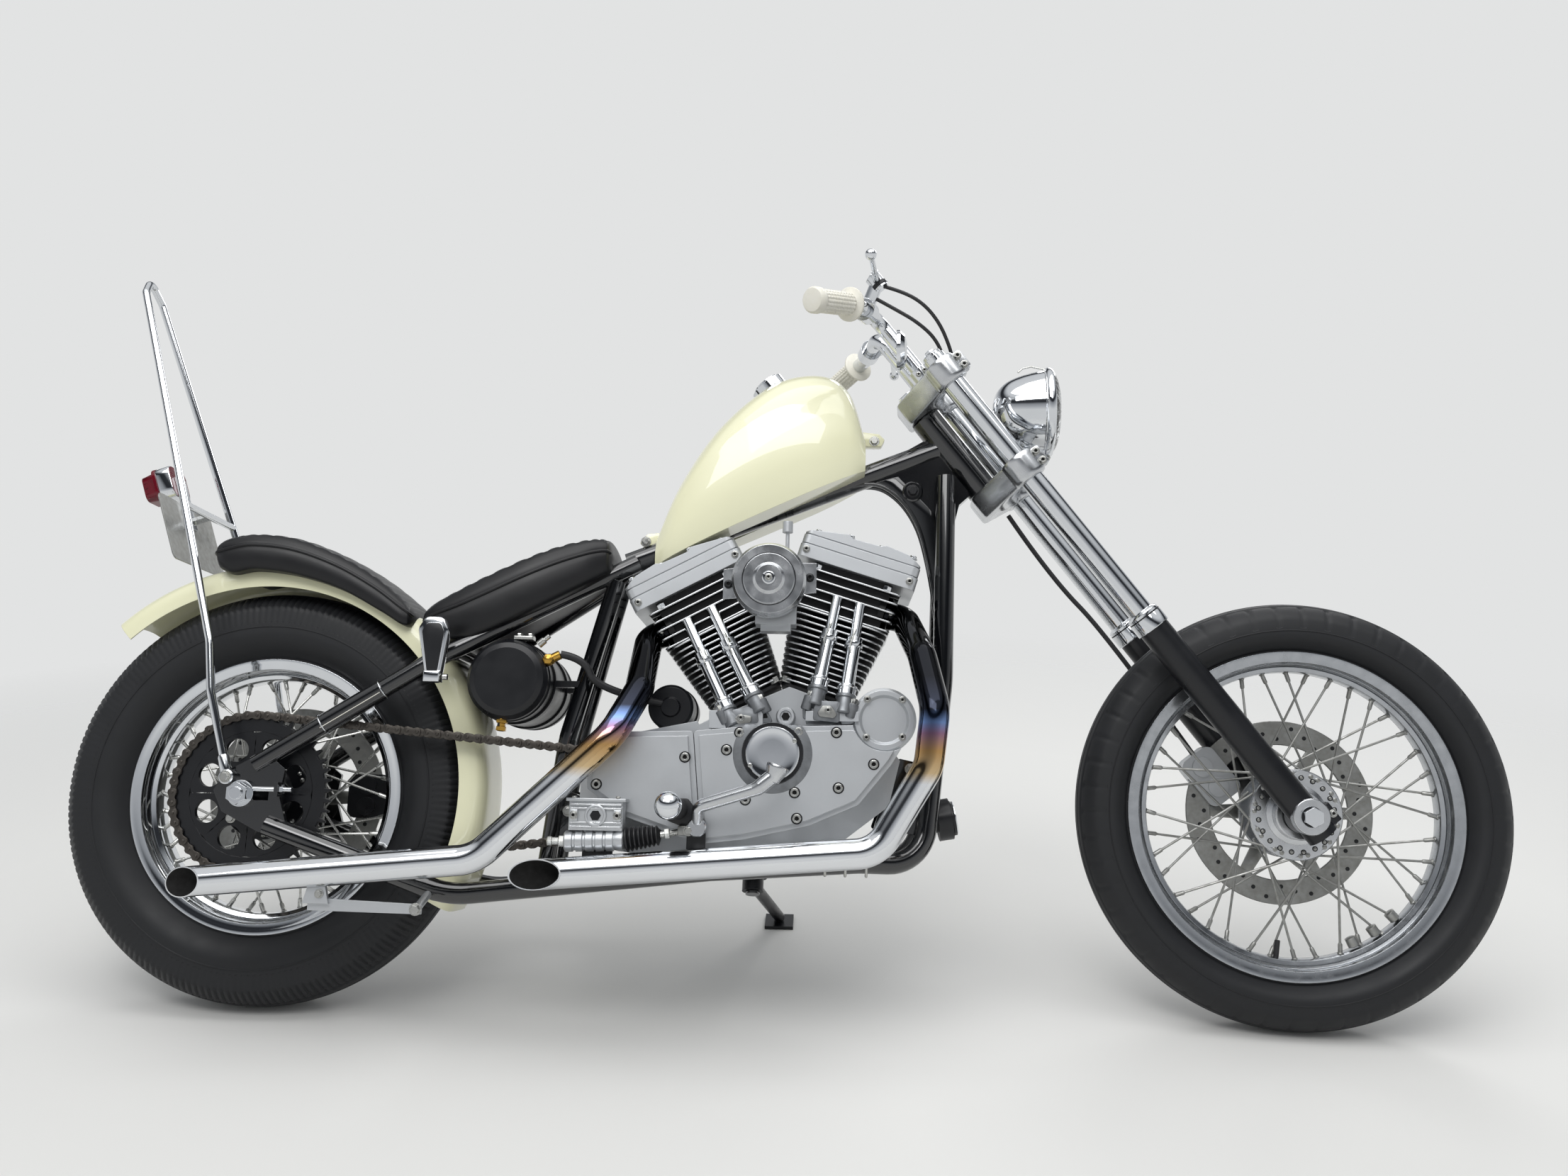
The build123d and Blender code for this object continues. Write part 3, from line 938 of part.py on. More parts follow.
def control_parts():
    # brake pedal arm, polished, ending in an upturned pad
    pedal = bent([v(700, -176, 296), v(700, -192, 322), v(790, -206, 346), v(812, -206, 366)], [10, 16], 8)
    pedal += rod(v(811, -206, 364), v(818, -206, 382), 17) + disc_y(700, 292, 14, -184, -165 - SEAT_GAP)
    lever = bent([v(700, 176, 296), v(700, 192, 322), v(800, 206, 346)], [10], 7)
    lever += disc_y(700, 292, 13, 165 + SEAT_GAP, 184) + rod(v(796, 200, 345), v(798, 232, 346), 11)
    PARTS["foot_controls"] = ("frame", [pedal, lever])
    # rider's peg: a ball on a ribbed rubber, carried by a bracket on the rail
    foot = v(668, -161, 318)
    way = (v(664, -236, 322) - foot).normalized()
    rider = rod(foot, foot + way * 75, 13) + Pos(664, -240, 322) * Sphere(20)
    for k in range(4):
        rider += rod(foot + way * (8 + 13 * k), foot + way * (15 + 13 * k), 16)
    rider += slab([(684, 222), (712, 222), (712, 300), (684, 334), (652, 334), (652, 302), (684, 290)], -165, -161, 4)
    rider += box_at(684, 712, -162, -124, 222, 236)
    rider -= PARTS["main_frame"][1]
    pegs = [rider, mirror_y(rider)]
    for side in (-1, 1):
        # passenger's peg folded up: a flat blade in the fork of its clevis
        blade = slab([(282, 500), (302, 500), (312, 580), (300, 598), (278, 598), (266, 582)],
                     min(side * 152, side * 170), max(side * 152, side * 170), 5)
        root = rod(v(289, side * 108, 548), v(289, side * 142, 545), 9) - PARTS["rear_frame"][1]
        clevis = box_at(276, 304, min(side * 138, side * 174), max(side * 138, side * 174), 528, 560)
        slot = box_at(270, 310, min(side * 151.7, side * 170.3), max(side * 151.7, side * 170.3), 520, 570)
        pin = rod(v(290, side * 136, 544), v(290, side * 178, 544), 5)
        pegs.append(blade + root + (clevis - slot) + pin)
    PARTS["foot_pegs"] = ("frame", pegs)
    # rear master cylinder: finned body, flange, ribbed bellows and push rod
    cyl = box_at(512, 592, -186, -155, 284, 330) + box_at(506, 594, -184, -155, 254, 284)
    for k in range(5):
        cyl -= box_at(510, 594, -190, -180, 289 + 8 * k, 292 + 8 * k)
    cyl += disc_y(552, 307, 13, -190, -175)
    bellows = v(594, -170, 272)
    along = v(52, 0, 8).normalized()
    cyl += rod(bellows, bellows + along * 52, 13)
    for k in range(5):
        cyl += rod(bellows + along * (2 + 10 * k), bellows + along * (8 + 10 * k), 18 - k)
    cyl += rod(bellows + along * 50, v(680, -170, 286), 5)
    cyl += slab([(530, 206), (575, 206), (575, 258), (530, 258)], -159, -155)
    cyl += box_at(538, 566, -158, -STAY_Y, 206, 214)
    PARTS["master_cylinder"] = ("frame", cyl - PARTS["main_frame"][1])
    horn = rod(v(1062, -30, 310), v(1084, -30, 314), 32) + rod(v(1084, -30, 314), v(1088, -30, 315), 27)
    horn += rod(v(1048, -30, 307), v(1062, -30, 310), 18) + rod(v(1040, -60, 330), v(1066, -34, 312), 6)
    PARTS["horn"] = ("frame", horn - PARTS["main_frame"][1])


def brake_parts():
    gap = DISC_THICK / 2 + DISC_RUNNING_GAP
    # front caliper, drawn on its slider: up the leg, ahead of it, to the left
    plane = Plane(origin=on_fork(110, -51, 44), x_dir=Vector(0, 1, 0), z_dir=FORK_FRONT)
    side = Plane(origin=on_fork(110, -51, 80), x_dir=FORK_FRONT, z_dir=Vector(0, -1, 0))
    front = extrude(side * RectangleRounded(60, 88, 14), amount=36)
    for up in (-20, 20):
        front += rod(on_fork(110 + up, -53, 44), on_fork(110 + up, -53, 40.5), 16)
        front += rod(on_fork(110 + up, -53, 80), on_fork(110 + up, -53, 84), 17)
    front += plane * Pos(44, 0, 18) * Box(26, 66, 24)
    front -= disc_y(WHEELBASE, FRONT_AXLE_Z, DISC_RADIUS + 4, FRONT_DISC_Y - gap, FRONT_DISC_Y + gap)
    front -= rod(on_fork(SLIDER_BOTTOM, 0, FORK_HALF), on_fork(SLIDER_TOP, 0, FORK_HALF), SLIDER_RADIUS + SEAT_GAP)
    PARTS["front_caliper"] = ("fork", front)
    rear_side = Plane(origin=(126, 104, REAR_AXLE_Z + 3), x_dir=(1, 0, 0), z_dir=(0, -1, 0))
    rear = extrude(rear_side * RectangleRounded(68, 72, 14), amount=34)
    for up in (-17, 17):
        rear += disc_y(124, REAR_AXLE_Z + 3 + up, 15, 66, 108)
    rear -= disc_y(0, REAR_AXLE_Z, DISC_RADIUS + 4, REAR_DISC_Y - gap, REAR_DISC_Y + gap)
    rear += box_at(116, 128, 98, STAY_Y, 270, 300)
    PARTS["rear_caliper"] = ("frame", rear - PARTS["main_frame"][1])
    hose = bent([on_fork(650.3, -38.9, 60), on_fork(524.5, -48.4, 62), on_fork(388.6, -35.2, 62),
                 on_fork(147.6, -48.4, 66)], [80, 80], 4)
    PARTS["front_brake_hose"] = ("fork", hose - front)


def stand_parts():
    lean = math.radians(LEAN)
    # the pad stands level on the ground: its centre in the upright machine's frame
    pad_z = STAND_PAD_THICK / 2 - TYRE_SINK
    pad = v(STAND_FOOT_X, STAND_FOOT_REACH * math.cos(lean) - pad_z * math.sin(lean),
            STAND_FOOT_REACH * math.sin(lean) + pad_z * math.cos(lean))
    tilt = Vector(0, math.sin(math.radians(STAND_PIN_TILT)), math.cos(math.radians(STAND_PIN_TILT)))
    pivot = Vector(STAND_PIVOT)
    eye = rod(pivot - tilt * STAND_EYE_HALF, pivot + tilt * STAND_EYE_HALF, STAND_EYE_RADIUS)
    leg = rod(pivot, pad + v(0, 0, 8), 10)
    foot = Pos(*pad) * Rot(LEAN, 0, 0) * Box(52, 60, STAND_PAD_THICK)
    cut = rod(pivot - tilt * 20, pivot + tilt * 20, STAND_PIN_RADIUS + AXLE_GAP)
    PARTS["side_stand"] = ("side_stand", eye + leg + foot - cut)


front_wheel_parts()
rear_wheel_parts()
output_sprocket, chain_room = chain_parts()
frame_parts()
axle_parts()
fork_parts()
bar_parts()
lamp_parts()
engine_parts()
pushrod_parts()
intake_parts()
pipe_parts()
body_parts()
control_parts()
brake_parts()
stand_parts()

# Posing: fork pieces turn about the steering axis, everything leans, and the machine is set on the ground
steer_axis = Axis(on_head(0), FORK_UP)
ground_axis = Axis((0, 0, 0), (1, 0, 0))


def posed(shape, body):
    if body in ("fork", "front_wheel"):
        shape = shape.rotate(steer_axis, STEER_AT_REST)
    return shape.rotate(ground_axis, -LEAN)


os.makedirs("parts", exist_ok=True)
solids = {}
for name, (body, shape) in PARTS.items():
    pieces = shape if isinstance(shape, list) else [shape]
    bodies = [solid for piece in pieces for solid in piece.solids()]
    solids[name] = posed(Compound(bodies), body)
boxes = [shape.bounding_box() for shape in solids.values()]
low = Vector(min(box.min.X for box in boxes), min(box.min.Y for box in boxes), min(box.min.Z for box in boxes))
high = Vector(max(box.max.X for box in boxes), max(box.max.Y for box in boxes), max(box.max.Z for box in boxes))
shift = Pos(-(low.X + high.X) / 2, -(low.Y + high.Y) / 2, -low.Z)
for name, shape in solids.items():
    export_step(shift * shape, "parts/" + name + ".step")
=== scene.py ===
import json
import math

import bmesh
import bpy
from mathutils import Matrix, Vector


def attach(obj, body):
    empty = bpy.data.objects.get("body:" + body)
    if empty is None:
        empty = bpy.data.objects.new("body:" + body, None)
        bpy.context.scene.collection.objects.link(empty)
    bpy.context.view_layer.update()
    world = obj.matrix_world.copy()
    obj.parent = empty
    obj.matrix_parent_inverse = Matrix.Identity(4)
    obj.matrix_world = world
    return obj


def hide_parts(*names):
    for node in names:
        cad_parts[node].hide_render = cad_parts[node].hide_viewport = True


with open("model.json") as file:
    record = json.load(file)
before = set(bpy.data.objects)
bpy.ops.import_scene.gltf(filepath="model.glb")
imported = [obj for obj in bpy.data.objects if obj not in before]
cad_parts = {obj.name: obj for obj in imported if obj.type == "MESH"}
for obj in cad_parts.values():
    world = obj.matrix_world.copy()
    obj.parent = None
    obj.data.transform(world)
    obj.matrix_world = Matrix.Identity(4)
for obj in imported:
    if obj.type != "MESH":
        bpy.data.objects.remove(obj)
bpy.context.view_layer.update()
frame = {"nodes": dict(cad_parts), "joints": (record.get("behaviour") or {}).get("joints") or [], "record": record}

# Looks of the chopper. Pieces are drawn on the upright machine in millimetres (X forward, Y to its left,
# Z up, rear axle above the origin), then leaned, and turned with the fork where they belong to it.

LEAN = math.radians(18)
STEER_AT_REST = math.radians(-5)
RAKE = math.radians(38)
FORK_OFFSET = 56
FORK_HALF = 92
FORK_LENGTH = 780
CLAMPS_UP = (680, 880)
CLAMP_THICK = 42
REAR_AXLE = Vector((0, 0, 327.5))
MM = 0.001
EDGE_MM = 1.2
RIGHT = (0, -1, 0)
COVER_FACE = -150

joint_at = {joint["name"]: Vector(joint["pos_m"]) / MM for joint in frame["joints"]}
lean = Matrix.Rotation(-LEAN, 4, "X")
SHIFT = joint_at["rear_wheel_spin"] - lean @ REAR_AXLE
on_stand = Matrix.Scale(MM, 4) @ Matrix.Translation(SHIFT) @ lean
FORK_UP = Vector((-math.sin(RAKE), 0, math.cos(RAKE)))
FORK_FRONT = Vector((math.cos(RAKE), 0, math.sin(RAKE)))
head_point = on_stand.inverted() @ (joint_at["steering"] * MM)
FRONT_AXLE = head_point - FORK_UP * FORK_LENGTH + FORK_FRONT * FORK_OFFSET
turned_bars = (Matrix.Translation(head_point) @ Matrix.Rotation(STEER_AT_REST, 4, FORK_UP)
               @ Matrix.Translation(-head_point))
PLACE = {"frame": on_stand, "side_stand": on_stand, "rear_wheel": on_stand,
         "fork": on_stand @ turned_bars, "front_wheel": on_stand @ turned_bars}


def on_fork(up, front=0, y=0):
    return FRONT_AXLE + FORK_UP * up + FORK_FRONT * front + Vector((0, y, 0))


def on_head(up, front=0, y=0):
    return on_fork(up, front - FORK_OFFSET, y)


def around(centre, radius, angle, y=0):
    # a point on a circle in the side view
    return centre + Vector((radius * math.cos(angle), y, radius * math.sin(angle)))


def linear(colour):
    channels = [int(colour[k:k + 2], 16) / 255 for k in (1, 3, 5)]
    return [c / 12.92 if c <= 0.04045 else ((c + 0.055) / 1.055) ** 2.4 for c in channels] + [1]


def node(tree, kind, sockets=None, **settings):
    made = tree.nodes.new(kind)
    for name, value in settings.items():
        setattr(made, name, value)
    for socket, value in (sockets or {}).items():
        if isinstance(value, bpy.types.NodeSocket):
            tree.links.new(value, made.inputs[socket])
        else:
            made.inputs[socket].default_value = value
    return made


def finish(name, colour, second, patch_mm, rough, rough_second, grain_mm, grain_height, **shader):
    # two close colours and two roughnesses in soft patches, with a fine grain raised from the surface
    material = bpy.data.materials.new(name)
    material.use_nodes = True
    tree = material.node_tree
    tree.nodes.clear()
    where = node(tree, "ShaderNodeTexCoord").outputs["Object"]
    patches = node(tree, "ShaderNodeTexNoise", {"Vector": where, "Scale": 1 / (patch_mm * MM), "Detail": 4.0})
    tone = node(tree, "ShaderNodeMix", {"Factor": patches.outputs["Fac"]}, data_type="RGBA")
    tone.inputs["A"].default_value = linear(colour)
    tone.inputs["B"].default_value = linear(second)
    gloss = node(tree, "ShaderNodeMapRange", {
        "Value": patches.outputs["Fac"], "From Min": 0.3, "From Max": 0.7,
        "To Min": rough, "To Max": rough_second})
    grain = node(tree, "ShaderNodeTexNoise", {"Vector": where, "Scale": 1 / (grain_mm * MM), "Detail": 2.0})
    edge = node(tree, "ShaderNodeBevel", {"Radius": EDGE_MM * MM}, samples=4)
    bump = node(tree, "ShaderNodeBump", {"Height": grain.outputs["Fac"], "Strength": 1.0,
                                         "Distance": grain_height * MM, "Normal": edge.outputs["Normal"]})
    surface = node(tree, "ShaderNodeBsdfPrincipled", {
        "Base Color": tone.outputs["Result"], "Roughness": gloss.outputs["Result"],
        "Normal": bump.outputs["Normal"]})
    for socket, value in shader.items():
        surface.inputs[socket.replace("_", " ")].default_value = value
    node(tree, "ShaderNodeOutputMaterial", {"Surface": surface.outputs["BSDF"]})
    return material


def part_of(material, kind):
    return [made for made in material.node_tree.nodes if made.bl_idname == kind]


# Ivory two-pack enamel, sprayed and polished: a hard clear gloss over a warm solid colour
IVORY_ENAMEL = finish("ivory_enamel", "#E9E7C6", "#E4E2BE", 160, 0.32, 0.4, 3, 0.004,
                      Coat_Weight=1.0, Coat_Roughness=0.03, IOR=1.5)
# Gloss black stove enamel on tube: deep black with sharp lights
BLACK_ENAMEL = finish("black_stove_enamel", "#08090B", "#0C0D10", 90, 0.1, 0.16, 4, 0.004,
                      Coat_Weight=1.0, Coat_Roughness=0.04, IOR=1.5)
# Satin black paint, baked: soft lights, a little dust
SATIN_BLACK = finish("satin_black_paint", "#0E0F12", "#15161A", 45, 0.26, 0.38, 1.2, 0.008, IOR=1.45)
# Black wrinkle paint between the cooling fins: matt, drinks the light
FIN_BLACK = finish("black_fin_paint", "#0D0D0F", "#17171A", 20, 0.5, 0.65, 0.9, 0.02, IOR=1.5)
# Chrome plate over polished steel: a clean mirror
CHROME = finish("chrome_plate", "#DFE1E4", "#D2D5D8", 60, 0.04, 0.08, 6, 0.0008, Metallic=1.0)
# Old chrome, dulled by fine pitting
DULL_CHROME = finish("dulled_chrome", "#B9BCC0", "#9C9FA3", 18, 0.16, 0.3, 0.8, 0.006, Metallic=1.0)
# Bead-blasted cast aluminium: silver grey, even and soft
CAST_ALUMINIUM = finish("blasted_cast_aluminium", "#C8CACC", "#B7BABD", 35, 0.36, 0.46, 0.7, 0.012,
                        Metallic=0.75)
# Rough cast aluminium on tappet blocks and carburettor bodies: darker, with stains
OILED_CASTING = finish("stained_casting", "#8F9295", "#66686B", 14, 0.42, 0.58, 0.9, 0.03, Metallic=0.9)
# Hand-polished aluminium of clamps and hubs: brighter than the castings, with a light haze
POLISHED_ALUMINIUM = finish("polished_aluminium", "#CFD1D3", "#B4B6B9", 25, 0.17, 0.3, 1.5, 0.006,
                            Metallic=1.0)
# Fin edges ground bare on a lathe
GROUND_EDGE = finish("ground_fin_edge", "#DADCDE", "#C2C4C6", 10, 0.24, 0.34, 0.8, 0.006, Metallic=1.0)
# Galvanised steel of spokes and brake parts: grey with a dry bloom
GALVANISED = finish("galvanised_steel", "#A7A8A7", "#86857F", 9, 0.32, 0.5, 1.1, 0.012, Metallic=0.95)
# Zinc-plated fasteners
ZINC = finish("zinc_plate", "#C4C5C3", "#A9A8A2", 5, 0.22, 0.36, 1.2, 0.006, Metallic=1.0)
# Drive chain steel, brown-black with oil
CHAIN_STEEL = finish("oiled_chain_steel", "#5C5853", "#3B3734", 9, 0.36, 0.5, 1.3, 0.015, Metallic=0.85)
# Moulded tyre rubber: near black, dry, with a dusty grey bloom
TYRE_RUBBER = finish("tyre_rubber", "#141517", "#1E1F22", 38, 0.5, 0.64, 1.4, 0.03, IOR=1.42)
# Black vinyl of the seats: fine grain, soft sheen
SEAT_VINYL = finish("seat_vinyl", "#0B0B0D", "#131316", 55, 0.34, 0.44, 0.9, 0.03, IOR=1.42)
# Black rubber of hoses, boots and bellows
BLACK_RUBBER = finish("black_rubber", "#131315", "#1D1D20", 16, 0.42, 0.55, 1.0, 0.015, IOR=1.52)
# White moulded rubber of the grips, yellowed a little at the ends
WHITE_RUBBER = finish("white_rubber", "#E8E6DE", "#D9D4C4", 22, 0.42, 0.55, 1.2, 0.015, IOR=1.5)
# Red acrylic lens
RED_LENS = finish("red_acrylic", "#6E0A1C", "#520616", 12, 0.12, 0.16, 3, 0.003, IOR=1.49)
# Brass hose unions
BRASS = finish("brass", "#C9A050", "#A88238", 6, 0.2, 0.34, 1.0, 0.008, Metallic=1.0)
# Clear pressed glass of the lamp
LAMP_GLASS = finish("lamp_glass", "#F4F6F6", "#EEF2F2", 20, 0.02, 0.03, 8, 0.05, Transmission_Weight=1.0,
                    IOR=1.52)
# Black bore: painted shade where a pipe or a hole is too deep to see into, and soot inside the exhaust pipes
BORE_SHADE_AND_SOOT = finish("bore_shade_and_soot", "#060606", "#0C0B0A", 8, 0.8, 0.95, 2, 0.02, IOR=1.45)

FINISH_OF_SLOT = {
    "ivory_paint": IVORY_ENAMEL, "black_paint": BLACK_ENAMEL, "black_satin": SATIN_BLACK,
    "black_fins": FIN_BLACK, "chrome": CHROME, "spoked_steel": GALVANISED, "satin_aluminium": CAST_ALUMINIUM,
    "plain_steel": GALVANISED, "chain_steel": CHAIN_STEEL, "white_rubber": WHITE_RUBBER,
    "black_rubber": BLACK_RUBBER, "tyre": TYRE_RUBBER, "black_leather": BLACK_RUBBER, "red_lens": RED_LENS,
}
for part in frame["record"]["subparts"]:
    cad_mesh = frame["nodes"][part["node"]].data
    cad_mesh.materials.clear()
    cad_mesh.materials.append(FINISH_OF_SLOT[part["material_slot"]])


class Piece:
    # one piece of the machine: a mesh in millimetres on the upright machine, with its own list of finishes

    def __init__(self, name, body, *finishes):
        self.name = name
        self.body = body
        self.finishes = list(finishes)
        self.mesh = bmesh.new()

    def use(self, material):
        if material not in self.finishes:
            self.finishes.append(material)
        return self.finishes.index(material)

    def add(self, corners, faces, material, at=None):
        # at places what was drawn about its own middle
        index = self.use(material)
        made = [self.mesh.verts.new(at @ Vector(c) if at else Vector(c)) for c in corners]
        for face in faces:
            try:
                self.mesh.faces.new([made[k] for k in face]).material_index = index
            except ValueError:
                continue

    def skin(self, rings, material, round_trip=False, ends=True, at=None):
        # rings of the same count, joined one to the next; round_trip joins the last to the first
        count = len(rings[0])
        corners = [corner for ring in rings for corner in ring]
        faces = []
        steps = len(rings) if round_trip else len(rings) - 1
        for k in range(steps):
            here = k * count
            there = (k + 1) % len(rings) * count
            for j in range(count):
                side = (j + 1) % count
                faces.append((here + j, here + side, there + side, there + j))
        if ends and not round_trip:
            faces.append(tuple(reversed(range(count))))
            faces.append(tuple(range(len(corners) - count, len(corners))))
        self.add(corners, faces, material, at)

    def hoop(self, section, centre, sides, material):
        # closed section of (radius, sideways) carried round a wheel's axle
        rings = [[around(centre, r, a, y) for r, y in section] for a in round_angles(sides)]
        self.skin(rings, material, round_trip=True)

    def lathe(self, outline, start, way, material, sides=40, ends=True):
        # outline of (radius, distance along) about the line from start along way
        turn = Vector(way).to_track_quat("Z", "Y").to_matrix().to_4x4()
        at = Matrix.Translation(Vector(start)) @ turn
        rings = []
        for radius, along in outline:
            rings.append([(radius * math.cos(a), radius * math.sin(a), along) for a in round_angles(sides)])
        self.skin(rings, material, ends=ends, at=at)

    def bar(self, start, end, radius, material, sides=20, edge=0.0):
        start = Vector(start)
        length = (Vector(end) - start).length
        outline = [(radius, 0), (radius, length)]
        if edge:
            outline = [(radius - edge, 0), (radius, edge), (radius, length - edge), (radius - edge, length)]
        self.lathe(outline, start, Vector(end) - start, material, sides)

    def tube(self, path, radius, material, sides=20):
        # radius may be a list, one for each point of the path
        frames = carried(path)
        radii = radius if isinstance(radius, list) else [radius] * len(path)
        rings = []
        for (point, across, up), r in zip(frames, radii):
            rings.append([point + (across * math.cos(a) + up * math.sin(a)) * r for a in round_angles(sides)])
        self.skin(rings, material)

    def plate(self, outline, y0, y1, material, edge=1.5, at=None):
        # flat plate in the side view, outline of (x, z), with softened edges
        self.slab(outline, (0, y0, 0), (1, 0, 0), (0, 0, 1), y1 - y0, material, edge, at)

    def slab(self, outline, start, right, up, thick, material, edge=1.0, at=None):
        # outline drawn with the two directions right and up from start, made thick along the third
        right = Vector(right).normalized()
        up = Vector(up).normalized()
        out = up.cross(right)
        middle = Vector((sum(p[0] for p in outline), sum(p[1] for p in outline))) / len(outline)
        rings = []
        near = edge * 0.3
        for inset, depth in ((edge, 0), (near, near), (0, edge), (0, thick - edge), (near, thick - near),
                             (edge, thick)):
            ring = inwards(outline, inset, middle)
            rings.append([Vector(start) + right * x + up * z + out * depth for x, z in ring])
        self.skin(rings, material, at=at)

    def block(self, centre, size, material, edge=1.5, at=None):
        half = Vector(size) / 2
        place = (at or Matrix()) @ Matrix.Translation(Vector(centre))
        outline = rectangle(-half.x, -half.z, half.x, half.z)
        self.plate(outline, -half.y, half.y, material, edge, place)

    def ball(self, centre, radius, material, sides=28):
        half_turn = [math.pi * k / (sides // 2) for k in range(1, sides // 2)]
        outline = [(radius * math.sin(a), -radius * math.cos(a)) for a in half_turn]
        self.lathe([(0.02, -radius)] + outline + [(0.02, radius)], centre, (0, 0, 1), material, sides)

    def socket_screw(self, at, way, radius=5.0, material=ZINC):
        # cap head screw on a washer, with its hexagon hole drawn as a flat black disc: painted shade
        way = Vector(way).normalized()
        at = Vector(at)
        self.lathe([(radius * 1.35, 0), (radius * 1.35, 1.0), (radius, 1.1), (radius, radius * 0.8),
                    (radius * 0.85, radius), (radius * 0.55, radius), (radius * 0.5, radius * 0.6)],
                   at, way, material, 20)
        self.lathe([(radius * 0.5, 0), (radius * 0.5, 0.2)], at + way * radius * 0.62, way, BORE_SHADE_AND_SOOT, 6)

    def hex_bolt(self, at, way, radius=8.0, height=6.0, material=ZINC):
        # hexagon head on a washer
        self.lathe([(radius * 1.3, 0), (radius * 1.3, 1.4)], at, way, material, 24)
        self.lathe([(radius, 1.4), (radius, height), (radius * 0.88, height + 1)], at, way, material, 6)

    def done(self, *stands_for, slot=None, smooth=32):
        bmesh.ops.recalc_face_normals(self.mesh, faces=self.mesh.faces)
        data = bpy.data.meshes.new(self.name)
        self.mesh.to_mesh(data)
        self.mesh.free()
        for material in self.finishes:
            data.materials.append(material)
        data.transform(PLACE[self.body])
        data.shade_smooth()
        data.set_sharp_from_angle(angle=math.radians(smooth))
        made = bpy.data.objects.new(self.name, data)
        bpy.context.scene.collection.objects.link(made)
        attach(made, self.body)
        if stands_for:
            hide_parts(*stands_for)
        return made


def round_angles(sides):
    return [2 * math.pi * k / sides for k in range(sides)]


def inwards(outline, inset, middle):
    # moves each corner in along the mean of its two sides
    result = []
    count = len(outline)
    turn = sum(outline[k - 1][0] * outline[k][1] - outline[k][0] * outline[k - 1][1] for k in range(count))
    sign = 1 if turn > 0 else -1
    for k in range(count):
        here = Vector(outline[k])
        before = (here - Vector(outline[k - 1])).normalized()
        after = (Vector(outline[(k + 1) % count]) - here).normalized()
        normal = Vector((-before.y - after.y, before.x + after.x)) * sign
        if normal.length < 0.2:
            normal = middle - here
        result.append(tuple(here + normal.normalized() * inset))
    return result


def rounded(outline, radius, steps=5):
    # corners of a flat outline replaced by arcs
    result = []
    count = len(outline)
    for k in range(count):
        here = Vector(outline[k])
        back = Vector(outline[k - 1]) - here
        on = Vector(outline[(k + 1) % count]) - here
        angle = back.angle(on)
        cut = min(radius / math.tan(angle / 2), back.length * 0.48, on.length * 0.48)
        first = here + back.normalized() * cut
        last = here + on.normalized() * cut
        for j in range(steps + 1):
            t = j / steps
            result.append(tuple(first * (1 - t) ** 2 + here * 2 * t * (1 - t) + last * t * t))
    return result


def bend(points, radii, steps=8):
    # straight runs joined by arcs, one radius for each inner corner
    points = [Vector(p) for p in points]
    path = [points[0]]
    for k, radius in enumerate(radii):
        corner = points[k + 1]
        back = (points[k] - corner).normalized()
        on = (points[k + 2] - corner).normalized()
        half = back.angle(on) / 2
        cut = radius / math.tan(half)
        centre = corner + (back + on).normalized() * radius / math.sin(half)
        first = corner + back * cut - centre
        last = corner + on * cut - centre
        sweep = first.angle(last)
        for j in range(steps + 1):
            t = j / steps
            arm = first * math.sin((1 - t) * sweep) + last * math.sin(t * sweep)
            path.append(centre + arm / math.sin(sweep))
    path.append(points[-1])
    return path


def carried(path):
    # a point and two directions square to the path, turned as little as possible from one to the next
    path = [Vector(p) for p in path]
    ways = []
    for k in range(len(path)):
        ahead = path[min(k + 1, len(path) - 1)] - path[k]
        behind = path[k] - path[max(k - 1, 0)]
        ways.append((ahead.normalized() + behind.normalized()).normalized())
    across = ways[0].orthogonal().normalized()
    frames = []
    for point, way in zip(path, ways):
        across = (across - way * across.dot(way)).normalized()
        frames.append((point, across, way.cross(across)))
    return frames


def mirrored(point):
    return Vector((point[0], -point[1], point[2]))


def both_sides(half):
    # half a ring up to its middle point, and the same back down the other side
    return half + [mirrored(point) for point in reversed(half[:-1])]


def flipped(section):
    # flat points in turned order on the other side
    return [(x, -y) for x, y in reversed(section)]


def rectangle(x0, z0, x1, z1):
    return [(x0, z0), (x1, z0), (x1, z1), (x0, z1)]


def ribbed(count, pitch, rib, taper=0.0):
    # one rib of (radius, distance along) again and again
    return [(radius - taper * k, along + pitch * k) for k in range(count) for radius, along in rib]


# Tyres
def tyre(name, body, cad_node, centre, section, lug_count, groove_depth, pattern):
    # section of (radius, sideways, share of the tread's depth); the pattern cuts four steps to a lug
    piece = Piece(name, body, TYRE_RUBBER)
    steps = lug_count * 4
    rings = []
    for k in range(steps):
        a = 2 * math.pi * k / steps
        rings.append([around(centre, r - groove_depth * tread * pattern(k, y), a, y)
                      for r, y, tread in section])
    piece.skin(rings, TYRE_RUBBER, round_trip=True)
    piece.done(cad_node, slot="tyre", smooth=38)


